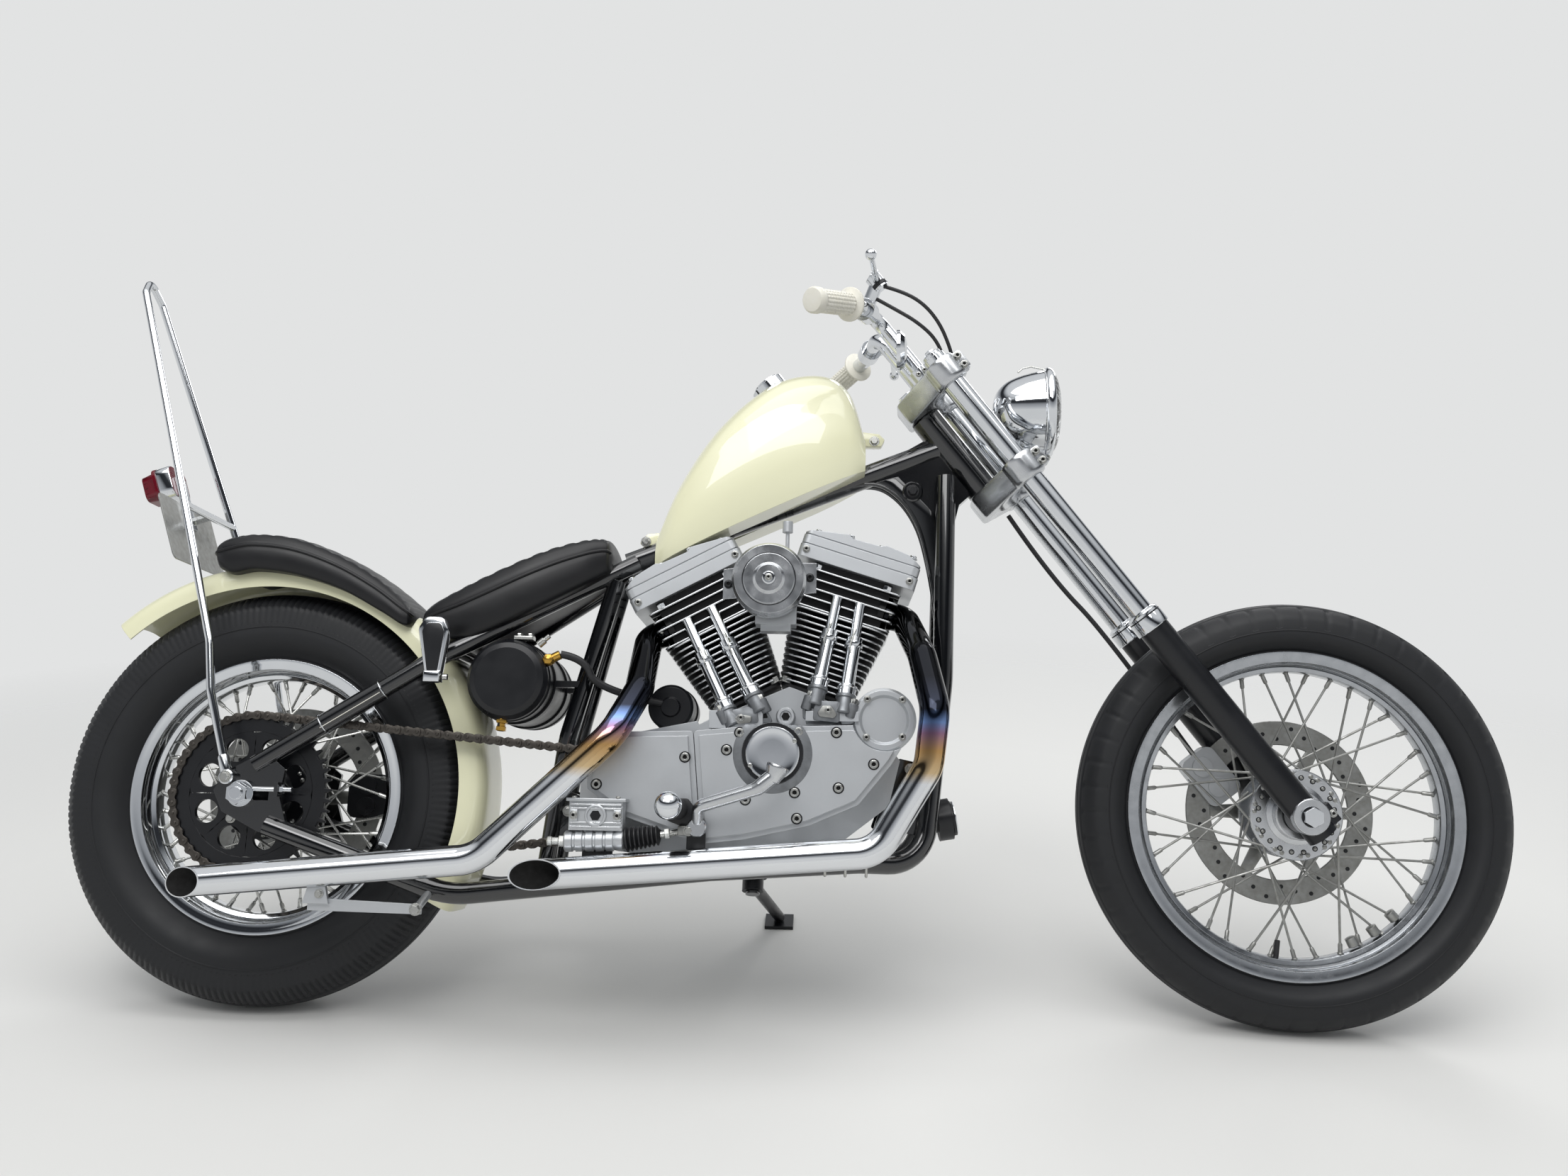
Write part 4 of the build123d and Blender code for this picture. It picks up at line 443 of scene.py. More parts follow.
def tyre_section(radius, half, drop, rim_radius, rim_half, ribs):
    # from one bead round the crown to the other: radius, sideways and how deep the tread is cut there
    shoulder = half - 4
    crown = (shoulder * shoulder + drop * drop) / (2 * drop)
    seat = rim_radius - 13.7
    inner = rim_half - 4.3
    top = []
    count = ribs * 4
    for k in range(count + 1):
        y = -shoulder + 2 * shoulder * k / count
        top.append((radius - crown + math.sqrt(crown * crown - y * y), y, 1.0))
    # up the wall: widest at 0.45, a raised line at 0.584 to 0.604, and lugs from 0.7
    wall = []
    foot = rim_radius + 2
    for t in (0.0, 0.12, 0.25, 0.4, 0.5, 0.58, 0.584, 0.604, 0.608, 0.68, 0.7, 0.76, 0.84, 0.92):
        if t < 0.45:
            y = inner + (half - inner) * math.sin(t / 0.45 * math.pi / 2)
        else:
            y = half - (half - shoulder) * ((t - 0.45) / 0.55) ** 2
        raised = 0.9 if t in (0.584, 0.604) else 0.0
        wall.append((foot + (radius - drop - foot) * t, y + raised, 1.0 if t >= 0.7 else 0.0))
    near = [(r, -y, d) for r, y, d in wall]
    return [(seat, -inner, 0.0)] + near + top + list(reversed(wall)) + [(seat, inner, 0.0)]


def rear_tread(k, y):
    # four straight grooves, cuts beside the outer ones, and lugs cut square across the shoulders
    lug = k % 4
    side = abs(y)
    if side > 41:
        return (1.0, 0.45, 0.0, 0.0)[lug]
    if lug == 0 and side > 26:
        return 0.8
    return 1.0 if any(abs(side - g) < 1.3 for g in (9.7, 28.9)) else 0.0


def front_tread(k, y):
    # five straight grooves, and short cuts at the shoulders
    side = abs(y)
    if any(abs(side - g) < 1.1 for g in (0.0, 11.5, 23.0)):
        return 1.0
    if side > 25 and k % 12 in (0, 1):
        return 0.8
    return 0.0


tyre("rear_tyre_rubber", "rear_wheel", "rear_tyre", REAR_AXLE, tyre_section(327.5, 62, 28, 216.7, 42, 12),
     180, 3.0, rear_tread)
tyre("front_tyre_rubber", "front_wheel", "front_tyre", FRONT_AXLE, tyre_section(331.5, 50, 26, 254.5, 32, 12),
     150, 2.2, front_tread)


# Wire wheels: rim, hub, laced spokes with their nipples
SPOKE_CIRCLE = 63


def wire_wheel(name, body, centre, rim_radius, rim_half, flange_y, ends, rim_finish, spoke_finish, hub_finish,
               drilled):
    piece = Piece(name, body, rim_finish, spoke_finish, hub_finish)
    seat = rim_radius - 14
    well = seat - 14
    inner = rim_half - 4
    outer = [(rim_radius, rim_half - 1.2), (rim_radius - 0.8, rim_half), (rim_radius - 5, rim_half),
             (rim_radius - 8, rim_half - 1), (seat - 3, rim_half - 2), (seat - 5, rim_half - 6),
             (seat - 6, inner * 0.62), (well - 3, inner * 0.5), (well - 4.5, inner * 0.34), (well - 4.5, 0)]
    inside = [(well, 0), (well, inner * 0.4), (seat, inner), (rim_radius - 1, inner),
              (rim_radius, inner + 0.8)]
    piece.hoop(outer + flipped(outer[:-1]) + flipped(inside) + inside[1:], centre, 128, rim_finish)
    right_end, left_end = ends
    face = flange_y + 3.5
    # one flange from the hub's barrel outwards: (radius, how far inside the flange's face)
    flange = [(31, 14), (40, 7), (68.5, 7), (70, 5.5), (70, 1.5), (68.5, 0), (46, 0), (46, -3), (38, -6)]
    hub = [(9.8, right_end), (36, right_end), (38, right_end + 2)]
    hub += [(r, depth - face) for r, depth in reversed(flange)] + [(30, 0)]
    hub += [(r, face - depth) for r, depth in flange]
    hub += [(38, left_end - 2), (36, left_end), (9.8, left_end)]
    piece.lathe(hub, centre, (0, 1, 0), hub_finish, 72)
    foot = well - 4.5
    # ten spokes lean forward and ten back on each side: side, lean, first angle, place on the flange
    for side, way, first, out in ((-1, 1, 0, 2.5), (-1, -1, 18, -3), (1, 1, 9, 2.5), (1, -1, 27, -3)):
        for k in range(10):
            at_rim = math.radians(first + k * 36)
            at_hub = at_rim + math.radians(way * 58)
            head = around(centre, SPOKE_CIRCLE, at_hub, side * (flange_y + out))
            end = around(centre, foot, at_rim, side * 4)
            run = (end - head).normalized()
            piece.bar(head, end - run * 14, 1.9, spoke_finish, 8)
            nipple = [(2.4, 0), (3.4, 2), (3.4, 14), (4.6, 15.5), (4.6, 17)]
            piece.lathe(nipple, end - run * 16, run, spoke_finish, 10)
            rivet = around(centre, SPOKE_CIRCLE, at_hub, side * face)
            piece.lathe([(3.6, 0), (3.4, 1.2), (2, 2)], rivet, (0, side, 0), spoke_finish, 12)
    # the drilled holes in the flanges are dark discs: painted shade
    if drilled:
        for k in range(20):
            a = math.radians(9 + k * 18)
            for side in (-1, 1):
                spot = around(centre, 57.5, a, side * (face + 0.15))
                piece.lathe([(4.2, 0), (4.2, 0.3)], spot, (0, side, 0), SATIN_BLACK, 16)
                piece.lathe([(2.8, 0), (2.6, 1.2), (1.6, 1.8)], spot, (0, side, 0), spoke_finish, 12)
    return piece


front_wheel = wire_wheel("front_wheel_laced", "front_wheel", FRONT_AXLE, 254.5, 32, 34, (-62.5, 62.5),
                         DULL_CHROME, GALVANISED, POLISHED_ALUMINIUM, True)
# balance weights clipped round three spokes, and the tyre's valve
for angle in (-56, -46, -66):
    a = math.radians(angle)
    way = around(Vector(), 1, a)
    front_wheel.lathe([(5, 0), (8.5, 1.5), (8.5, 15), (5, 16.5)], around(FRONT_AXLE, 203, a, -6), way,
                      GALVANISED, 16)
valve = math.radians(-97)
front_wheel.bar(around(FRONT_AXLE, 196, valve), around(FRONT_AXLE, 224, valve), 4.2, BLACK_RUBBER, 14, 0.8)
front_wheel.done("front_wire_wheel", slot="spoked_steel")
rear_wheel = wire_wheel("rear_wheel_laced", "rear_wheel", REAR_AXLE, 216.7, 42, 40, (-94, 88.5), CHROME, ZINC,
                        SATIN_BLACK, False)
rear_wheel.done("rear_wire_wheel", slot="spoked_steel")


# Brake discs: drilled friction ring on a carrier with six arms
def brake_disc(name, body, cad_node, centre, y):
    piece = Piece(name, body, GALVANISED)
    middle = centre + Vector((0, y, 0))
    ring = [(146, -2.5), (147, -1.5), (147, 1.5), (146, 2.5)]
    ring += [(109, 2.5), (108, 1.5), (108, -1.5), (109, -2.5)]
    piece.hoop(ring, middle, 96, GALVANISED)
    piece.lathe([(38.5, -2.5), (54, -2.5), (54, 2.5), (38.5, 2.5)], middle, (0, 1, 0), GALVANISED, 48)
    for k in range(6):
        turn = Matrix.Translation(middle) @ Matrix.Rotation(math.radians(k * 60), 4, "Y")
        arm = rounded([(48, -13), (112, -9), (112, 9), (48, 13)], 4)
        piece.plate(arm, -2.4, 2.4, GALVANISED, 0.8, turn)
        piece.socket_screw(turn @ Vector((50, -2.5, 0)), RIGHT, 4)
    # the drilled holes are thin dark discs on both faces: painted shade
    for k in range(36):
        for side in (-1, 1):
            spot = around(middle, 118 + 9 * (k % 3), math.radians(k * 10), side * 2.55)
            piece.lathe([(3.4, 0), (3.4, 0.12)], spot, (0, side, 0), SATIN_BLACK, 14)
    piece.done(cad_node, slot="plain_steel")


brake_disc("front_disc_drilled", "front_wheel", "front_brake_disc", FRONT_AXLE, 60)
brake_disc("rear_disc_drilled", "rear_wheel", "rear_brake_disc", REAR_AXLE, 86)

# Rear sprocket: flat black plate with eight lightening holes
CHAIN_PITCH = 15.875
TEETH = 48
SMALL_TEETH = 21
CHAIN_LINKS = 116
RUN_PINS = 40
CHAIN_RISE = math.radians(1.2)
PITCH_RADIUS = CHAIN_PITCH / (2 * math.sin(math.pi / TEETH))
SMALL_RADIUS = CHAIN_PITCH / (2 * math.sin(math.pi / SMALL_TEETH))
CHAIN_Y = -90
PLATE_OUT = CHAIN_Y - 4
PLATE_IN = CHAIN_Y + 4
HOLE_RADIUS = 18
HOLE_REACH = 72


def tooth_edge(angle):
    # the plate's radius: a valley for the roller on each pin's line, and a tooth between two of them
    share = (angle * TEETH / (2 * math.pi)) % 1.0
    share = min(share, 1 - share)
    return PITCH_RADIUS - 5.2 + 9.4 * max(0.0, min(1.0, (share - 0.28) / 0.13))


sprocket = Piece("rear_sprocket_toothed", "rear_wheel", SATIN_BLACK)
toothed_rings = []
for a in round_angles(TEETH * 12):
    edge = tooth_edge(a)
    ring = [(96, PLATE_OUT), (edge - 1.5, PLATE_OUT), (edge, PLATE_OUT + 1.5), (edge, PLATE_IN - 1.5),
            (edge - 1.5, PLATE_IN), (96, PLATE_IN)]
    toothed_rings.append([around(REAR_AXLE, r, a, y) for r, y in ring])
sprocket.skin(toothed_rings, SATIN_BLACK, round_trip=True)
# the web between the eight holes: one cell a hole, drawn from the round hole out to the cell's edge
for k in range(8):
    middle = math.radians(22.5 + k * 45)
    hole = around(Vector(), HOLE_REACH, middle)
    rim_points = []
    edge_points = []
    for turn in round_angles(32):
        way = around(Vector(), 1, turn)
        rim_points.append(hole + way * HOLE_RADIUS)
        reach = HOLE_RADIUS
        while reach < 60:
            spot = hole + way * (reach + 1)
            radius = spot.length
            angle = (math.atan2(spot.z, spot.x) - middle + math.pi) % (2 * math.pi) - math.pi
            if not (38.4 < radius < 96.5 and abs(angle) < math.radians(22.6)):
                break
            reach += 1
        edge_points.append(hole + way * reach)
    cell = ((edge_points, PLATE_OUT), (rim_points, PLATE_OUT), (rim_points, PLATE_IN),
            (edge_points, PLATE_IN))
    sprocket.skin([[REAR_AXLE + p + Vector((0, y, 0)) for p in ring] for ring, y in cell], SATIN_BLACK,
                  ends=False)
sprocket.lathe([(38.4, PLATE_OUT), (41, PLATE_OUT), (41, PLATE_IN), (38.4, PLATE_IN)], REAR_AXLE, (0, 1, 0),
               SATIN_BLACK, 48)
for k in range(5):
    sprocket.hex_bolt(around(REAR_AXLE, 46, math.radians(18 + 72 * k), PLATE_OUT), RIGHT, 6, 5)
sprocket.done("rear_sprocket", slot="plain_steel")

# Drive chain: inner and outer links by turns, over the rear sprocket and along both runs into the engine
chain = Piece("drive_chain_links", "frame", CHAIN_STEEL)
straight = CHAIN_LINKS * CHAIN_PITCH - math.pi * (PITCH_RADIUS + SMALL_RADIUS)
narrowing = PITCH_RADIUS - SMALL_RADIUS
between = (straight + math.sqrt(straight * straight - 8 * narrowing * narrowing)) / 4
spread = math.asin(narrowing / between)
small_centre = around(REAR_AXLE, between, CHAIN_RISE)
top_way = math.pi / 2 + CHAIN_RISE - spread
low_way = 1.5 * math.pi + CHAIN_RISE + spread
valley = 2 * math.pi / TEETH
first = math.ceil(top_way / valley)
last = math.floor(low_way / valley)
pins = [around(REAR_AXLE, PITCH_RADIUS, k * valley) for k in range(first, last + 1)]


def straight_pins(way, since):
    # pins of one straight run; since is the turn between the run's start and the nearest pin on the sprocket
    start = around(REAR_AXLE, PITCH_RADIUS, way)
    run = around(small_centre, SMALL_RADIUS, way) - start
    lead = CHAIN_PITCH - PITCH_RADIUS * since
    return [start + run.normalized() * (lead + k * CHAIN_PITCH) for k in range(RUN_PINS)]


upper = straight_pins(top_way, first * valley - top_way)
lower = straight_pins(low_way, low_way - last * valley)
pins = list(reversed(upper)) + pins + lower
# a link plate is waisted: (share of the pitch, half height)
waist = [(-0.36, 0.0), (-0.33, 3.9), (-0.22, 6.2), (0.0, 7.1), (0.2, 6.4), (0.36, 5.1), (0.5, 4.6),
         (0.64, 5.1), (0.8, 6.4), (1.0, 7.1), (1.22, 6.2), (1.33, 3.9)]
outline = [(share * CHAIN_PITCH, height) for share, height in waist]
outline += [(1.36 * CHAIN_PITCH, 0.0)] + flipped(outline[1:])
for k in range(len(pins) - 1):
    here = pins[k]
    along = (pins[k + 1] - here).normalized()
    place = Matrix((along, Vector((0, 1, 0)), Vector((0, 1, 0)).cross(along))).transposed().to_4x4()
    out = 5.4 if k % 2 else 7.6
    for near in (-out - 1.0, out + 1.0):
        place.translation = here + Vector((0, CHAIN_Y + near, 0))
        chain.plate(outline, 0, 1.9, CHAIN_STEEL, 0.5, place)
    for half, radius, sides, edge in ((10.2, 2.5, 10, 0.6), (4.6, 5.08, 12, 0)):
        middle = here + Vector((0, CHAIN_Y, 0))
        chain.bar(middle - Vector((0, half, 0)), middle + Vector((0, half, 0)), radius, CHAIN_STEEL, sides,
                  edge)
chain.done("drive_chain", slot="chain_steel", smooth=40)


# Chrome pipes, tinted by heat: dark near the ports, then blue, purple and gold, and clean chrome lower down
HEAT_FROM = 0.36
HEAT_TO = 0.52
HOT_CHROME = finish("heat_tinted_chrome", "#DFE1E4", "#D2D5D8", 60, 0.05, 0.1, 6, 0.0008, Metallic=1.0)
hot_tree = HOT_CHROME.node_tree
spot = node(hot_tree, "ShaderNodeTexCoord").outputs["Object"]
upright = lean @ Vector((0, 0, 1))
height = node(hot_tree, "ShaderNodeVectorMath", {0: spot, 1: upright}, operation="DOT_PRODUCT")
foot = (SHIFT * MM).dot(upright)
warmth = node(hot_tree, "ShaderNodeMapRange", {
    "Value": height.outputs["Value"], "From Min": foot + HEAT_FROM, "From Max": foot + HEAT_TO})
tint = node(hot_tree, "ShaderNodeValToRGB", {"Fac": warmth.outputs["Result"]})
for place, colour in ((0.1, "#CDB48C"), (0.3, "#B48E5C"), (0.46, "#8C6A82"), (0.56, "#6D86B4"),
                      (0.68, "#2B2E38")):
    tint.color_ramp.elements.new(place).color = linear(colour)
tint.color_ramp.elements[0].color = linear("#DDDFE2")
tint.color_ramp.elements[-1].color = linear("#1B1C1F")
hot_surface = part_of(HOT_CHROME, "ShaderNodeBsdfPrincipled")[0]
hot_tree.links.new(tint.outputs["Color"], hot_surface.inputs["Base Color"])


# Seats: upholstered closed pads with rolls across the top, seams between them and piping round the sides
def smooth_line(points, share):
    # a point on a soft line through the given ones
    points = [Vector(p) for p in points]
    spot = share * (len(points) - 1)
    k = min(int(spot), len(points) - 2)
    t = spot - k
    a, b = points[max(k - 1, 0)], points[k]
    c, d = points[k + 1], points[min(k + 2, len(points) - 1)]
    return (b * 2 + (c - a) * t + (a * 2 - b * 5 + c * 4 - d) * t * t + (b * 3 - a - c * 3 + d) * t ** 3) / 2


def seat(name, cad_node, crown_line, foot_line, widths, rolls, roll_from, roll_to):
    piece = Piece(name, "frame", SEAT_VINYL)
    sides = [(0.6, 0.0), (0.88, 0.0), (0.965, 0.03), (0.995, 0.12), (1.01, 0.28), (1.0, 0.44), (0.985, 0.54),
             (0.972, 0.57), (0.976, 0.6), (0.962, 0.69), (0.92, 0.79), (0.86, 0.86)]
    top = [0.78, 0.7, 0.6, 0.5, 0.4, 0.3, 0.2, 0.1, 0.0]
    steps = 216
    rings = []
    piping = []
    for k in range(steps + 1):
        share = k / steps
        crown = smooth_line(crown_line, share)
        foot = smooth_line(foot_line, share)
        half = smooth_line([(w, 0) for w in widths], share).x
        end = min(share, 1 - share) / 0.07
        fade = math.sqrt(max(0.02, 1 - (1 - end) ** 2)) if end < 1 else 1.0
        middle = (crown + foot) / 2
        crown = middle + (crown - middle) * fade
        foot = middle + (foot - middle) * fade
        half = half * (0.55 + 0.45 * fade)
        roll = (share - roll_from) / (roll_to - roll_from) * rolls
        seam = abs(math.sin(math.pi * roll)) if 0 <= roll <= rolls else 1.0
        dip = 0.085 * (1 - seam) ** 1.5

        def at(u, h):
            spot = foot + (crown - foot) * h
            return Vector((spot.x, u * half, spot.y))

        near = [at(u, h) for u, h in sides]
        over = []
        for u in top:
            h = 1 - 0.17 * u ** 2.2
            over.append(at(u, h - dip * fade * min(1.0, (0.86 - u) * 5)))
        rings.append(both_sides(near + over))
        if 0.02 < share < 0.98:
            piping.append(at(0.978, 0.585))
    piece.skin(rings, SEAT_VINYL)
    piece.tube(piping, 2.6, SEAT_VINYL, 10)
    piece.tube([mirrored(p) for p in piping], 2.6, SEAT_VINYL, 10)
    made = piece.done(cad_node, slot="black_leather", smooth=60)


seat("driver_seat_pad", "front_seat",
     [(238, 612), (260, 638), (300, 664), (347, 690), (404, 718), (452, 738), (496, 750), (522, 752),
      (536, 746)],
     [(254, 588), (276, 574), (315, 573), (360, 588), (410, 614), (458, 641), (498, 665), (522, 681),
      (538, 692)],
     [96, 106, 112, 114, 112, 104, 94, 84, 76], 14, 0.05, 0.97)
seat("passenger_seat_pad", "rear_seat",
     [(-108, 722), (-86, 741), (-40, 749), (24, 743), (93, 718), (154, 685), (204, 647), (226, 624)],
     [(-98, 688), (-70, 676), (-30, 682), (37, 674), (110, 652), (176, 618), (210, 598), (226, 596)],
     [84, 92, 95, 95, 94, 92, 90, 84], 18, 0.03, 0.97)


# Engine: bright edges on the fins, screws, the chrome timing cover, pushrod collars and the air cleaner
ENGINE_TURN = math.radians(5.5)
BANK_HALF = math.radians(22.5)
CRANK = Vector((828, 0, 371))
CRANK_TO_BARREL = 136
BARREL_TALL = 128
BARREL_FINS = 13
HEAD_TALL = 76
HEAD_FINS = 5
HEAD_TOP = 204.3
TIMING_X = 807
TIMING_Z = 403
ROUND_COVER = (975, 459)


def bank(sign):
    angle = ENGINE_TURN - sign * BANK_HALF
    return Vector((-math.sin(angle), 0, math.cos(angle)))


def deck(sign, reach):
    # the plane across a cylinder, so far above the crankcase joint: X towards the front, Y to the left
    up = bank(sign)
    across = Vector((up.z, 0, -up.x))
    place = Matrix((across, Vector((0, 1, 0)), up)).transposed().to_4x4()
    place.translation = CRANK + up * (CRANK_TO_BARREL + reach)
    return place


fin_edges = Piece("fin_edges", "frame", GROUND_EDGE)


def fin_edge(sign, reach, half_x, half_y, corner):
    place = deck(sign, reach)
    outline = rounded(rectangle(-half_x, -half_y, half_x, half_y), corner, 8)
    middle = Vector((0, 0))
    rings = []
    for inset, height in ((1.2, -0.12), (0.1, -0.12), (-0.15, 0.3), (-0.15, 2.1), (0.1, 2.52), (1.2, 2.52)):
        ring = inwards(outline, inset, middle)
        rings.append([place @ Vector((x, y, height)) for x, y in ring])
    fin_edges.skin(rings, GROUND_EDGE, ends=False)


for sign in (-1, 1):
    for k in range(BARREL_FINS):
        half = 62 + 1.6 * k
        fin_edge(sign, (k + 1) * BARREL_TALL / (BARREL_FINS + 0.5), half, half, 34)
    for k in range(HEAD_FINS):
        fin_edge(sign, BARREL_TALL + k * HEAD_TALL / HEAD_FINS, 82, 74, 8)
fin_edges.done(slot="black_fins")

screws = Piece("engine_screws", "frame", ZINC)
for x, z in ((757, 433), (738, 407), (676, 395), (545, 352), (845, 436), (902, 436), (906, 354), (841, 346),
             (768, 334), (845, 308), (958, 390), (700, 285)):
    # each cover screw sits in a counterbore drawn as a flat dark disc, with a black disc in its hexagon hole: both
    # painted shade
    spot = (x, COVER_FACE, z)
    screws.lathe([(8.6, 0), (8.6, 0.3), (0.5, 0.3)], spot, RIGHT, SATIN_BLACK, 28)
    screws.lathe([(6.6, 0.2), (6.6, 2.4), (5.8, 3), (3.4, 3), (3, 1)], spot, RIGHT, ZINC, 24, ends=False)
    screws.lathe([(3.2, 0.6), (3.2, 0.9), (0.5, 0.9)], spot, RIGHT, BORE_SHADE_AND_SOOT, 6)
for corner in ((947, 492), (1004, 492), (1004, 432), (946, 430)):
    x, z = Vector(ROUND_COVER).lerp(Vector(corner), 0.94)
    screws.socket_screw((x, -118.2, z), RIGHT, 4.2)
for sign in (-1, 1):
    # rocker lid bolts, four to a side, with washers
    for toward in (-82, -30, 22, 74):
        for y in (-62, 62):
            tall = 55 if toward < 0 else (57 if toward < 40 else 49)
            at = deck(sign, HEAD_TOP + tall - 4) @ Vector((-sign * toward, y, 0))
            screws.socket_screw(at, bank(sign), 5.5, CHROME)
    for toward in (-88, 84):
        at = deck(sign, HEAD_TOP + 12) @ Vector((-sign * toward, -76.2, 0))
        screws.socket_screw(at, RIGHT, 4.5)
    # cylinder base nuts
    for x in (-50, 50):
        for y in (-50, 50):
            screws.hex_bolt(deck(sign, 5) @ Vector((x, y, 0)), bank(sign), 8, 9)
    # cylinder head bolts under the rocker box
    for x in (-58, 58):
        screws.hex_bolt(deck(sign, BARREL_TALL + 63) @ Vector((x, -66, 0)), bank(sign), 7, 8, CHROME)
screws.done()

timing = Piece("timing_cover", "frame", CHROME, SATIN_BLACK)
face = Vector((TIMING_X, COVER_FACE, TIMING_Z))
timing.lathe([(45.8, 3), (45.8, 3.4), (40, 3.4), (40, 3)], face, RIGHT, SATIN_BLACK, 72)
timing.lathe([(40.2, 3.3), (40.2, 6.8), (39, 8), (36, 8.3), (34.8, 7.9), (20, 8.2), (0.5, 8.3)], face, RIGHT,
             CHROME, 72)
for angle in (30, 210):
    spot = around(face, 38, math.radians(angle), -7.6)
    timing.lathe([(3.4, 0), (3.2, 1.4), (1, 1.8)], spot, RIGHT, ZINC, 16)
timing.done(slot="chrome")


def pushrods():
    # foot, direction and length of the four pushrod tubes
    for x0, z0, x1, z1 in ((734, 470, 660, 622), (774, 492, 697, 644), (873, 506, 903, 665),
                           (916, 494, 939, 658)):
        low = Vector((x0, -112, z0))
        run = Vector((x1, -68, z1)) - low
        yield low, run.normalized(), run.length


tappets = Piece("pushrod_collars", "frame", CHROME, ZINC)
# foot collars, seals and spring clips of the four pushrod tubes
for low, way, reach in pushrods():
    half = reach * 0.5
    tappets.lathe([(14.2, 11.5), (15.6, 13), (15.6, 16), (13, 18), (11.1, 18)], low, way, CHROME, 28)
    tappets.lathe([(13.2, half - 4), (14.4, half - 2), (14.4, half + 3), (11, half + 6)], low, way, CHROME,
                  28)
    clip = low + way * (reach * 0.42)
    clip_wire = [clip + Vector((-3, -12, 0)), clip + Vector((-5, -14.5, 8)),
                 clip + way * 22 + Vector((-2, -14, 6)), clip + way * 40 + Vector((0, -11.6, 0))]
    tappets.tube(clip_wire, 1.1, ZINC, 8)
tappets.done()

breather = Piece("air_cleaner_screws", "frame", CHROME, SATIN_BLACK)
for x, z in ((735, 655), (858, 667)):
    breather.socket_screw((x, -171.2, z), RIGHT, 5, SATIN_BLACK)
breather.lathe([(10, 0), (10, 2), (8.5, 3.2), (0.4, 3.6)], (797, -205, 660), RIGHT, CHROME, 32)
breather.socket_screw((797, -208.4, 660), RIGHT, 4, ZINC)
# thin dark ring on the annulus edge: painted shade of the step there
breather.lathe([(40.6, 0), (40.6, 0.6), (39.2, 0.6), (39.2, 0)], (797, -197.1, 660), RIGHT, SATIN_BLACK, 64)
breather.done()

frame["nodes"]["air_cleaner"].data.materials[0] = POLISHED_ALUMINIUM

# Fuel tank: soft sections from tail to nose, with the tunnel over the frame's spine and two mounting tabs
tank = Piece("fuel_tank_shell", "frame", IVORY_ENAMEL)
tank_line = [(604, 708, 760, 40), (640, 725, 852, 66), (704, 755, 953, 84), (790, 795, 1028, 92),
             (870, 832, 1044, 92), (918, 855, 1012, 80), (944, 868, 930, 62)]
tank_side = [(0.9, 0), (0.955, 0.1), (0.992, 0.22), (1.0, 0.31), (0.99, 0.42), (0.955, 0.54), (0.915, 0.64),
             (0.85, 0.765), (0.7, 0.868), (0.49, 0.942), (0.24, 0.987), (0, 1)]
TUNNEL_HALF = 19.6
spine_foot = Vector((556, 0, 717))
spine_run = on_head(800, -8) - spine_foot
rings = []
for k in range(91):
    x, bottom, top, half = smooth_line(tank_line, k / 90)
    near = [Vector((x, -half * u, bottom + (top - bottom) * h)) for u, h in
            (smooth_line(tank_side, j / 44) for j in range(45))]
    rise = (x - spine_foot.x) * spine_run.z + TUNNEL_HALF * spine_run.length
    over_spine = spine_foot.z + rise / spine_run.x
    roof = min(max(bottom + 0.2, over_spine), top - 6)
    tunnel = [Vector((x, -TUNNEL_HALF, roof)), Vector((x, -TUNNEL_HALF, bottom))]
    rings.append(both_sides(tunnel + near))
tank.skin(rings, IVORY_ENAMEL)
for tab in ([(930, 924), (972, 924), (978, 936), (968, 946), (930, 950)],
            [(572, 752), (594, 740), (622, 740), (622, 772), (586, 768)]):
    tank.plate(rounded(tab, 5), -9, 9, IVORY_ENAMEL)
tank.done("fuel_tank", slot="ivory_paint", smooth=40)

# Rear fender: one soft section carried round the tyre, distance from its middle and sideways place
FENDER_AT = Vector((-6, 0, 336))
FENDER_FROM = -30
FENDER_TO = 134
FENDER_HALF = 70
FENDER_THICK = 2.4
fender = Piece("rear_fender_shell", "frame", IVORY_ENAMEL)
outer_line = [(322, 70), (330, 70), (340, 68.8), (350, 65), (357.5, 57), (362, 45), (363.6, 30), (364, 0)]
shell = [tuple(smooth_line(outer_line, k / 28)) for k in range(29)]
shell += flipped(shell[:-1])
lining = [(r - FENDER_THICK * (1 - (abs(y) / FENDER_HALF) ** 6), y * (1 - FENDER_THICK / FENDER_HALF))
          for r, y in reversed(shell)]
rings = []
for k in range(141):
    a = math.radians(FENDER_FROM + (FENDER_TO - FENDER_FROM) * k / 140)
    rings.append([around(FENDER_AT, r, a, y) for r, y in shell + lining])
fender.skin(rings, IVORY_ENAMEL)
fender.done("rear_fender", slot="ivory_paint", smooth=40)

# Exhaust pipes: dark and blued near the ports, cut aslant at the mouth so that it opens to the side
PIPE_RADIUS = 22.2
PIPE_BORE = 20.6
PIPE_Y = -190
PORT_OUT = 65.3


def port(sign, outward, y):
    return deck(sign, 160) @ Vector((sign * outward, y, 0))


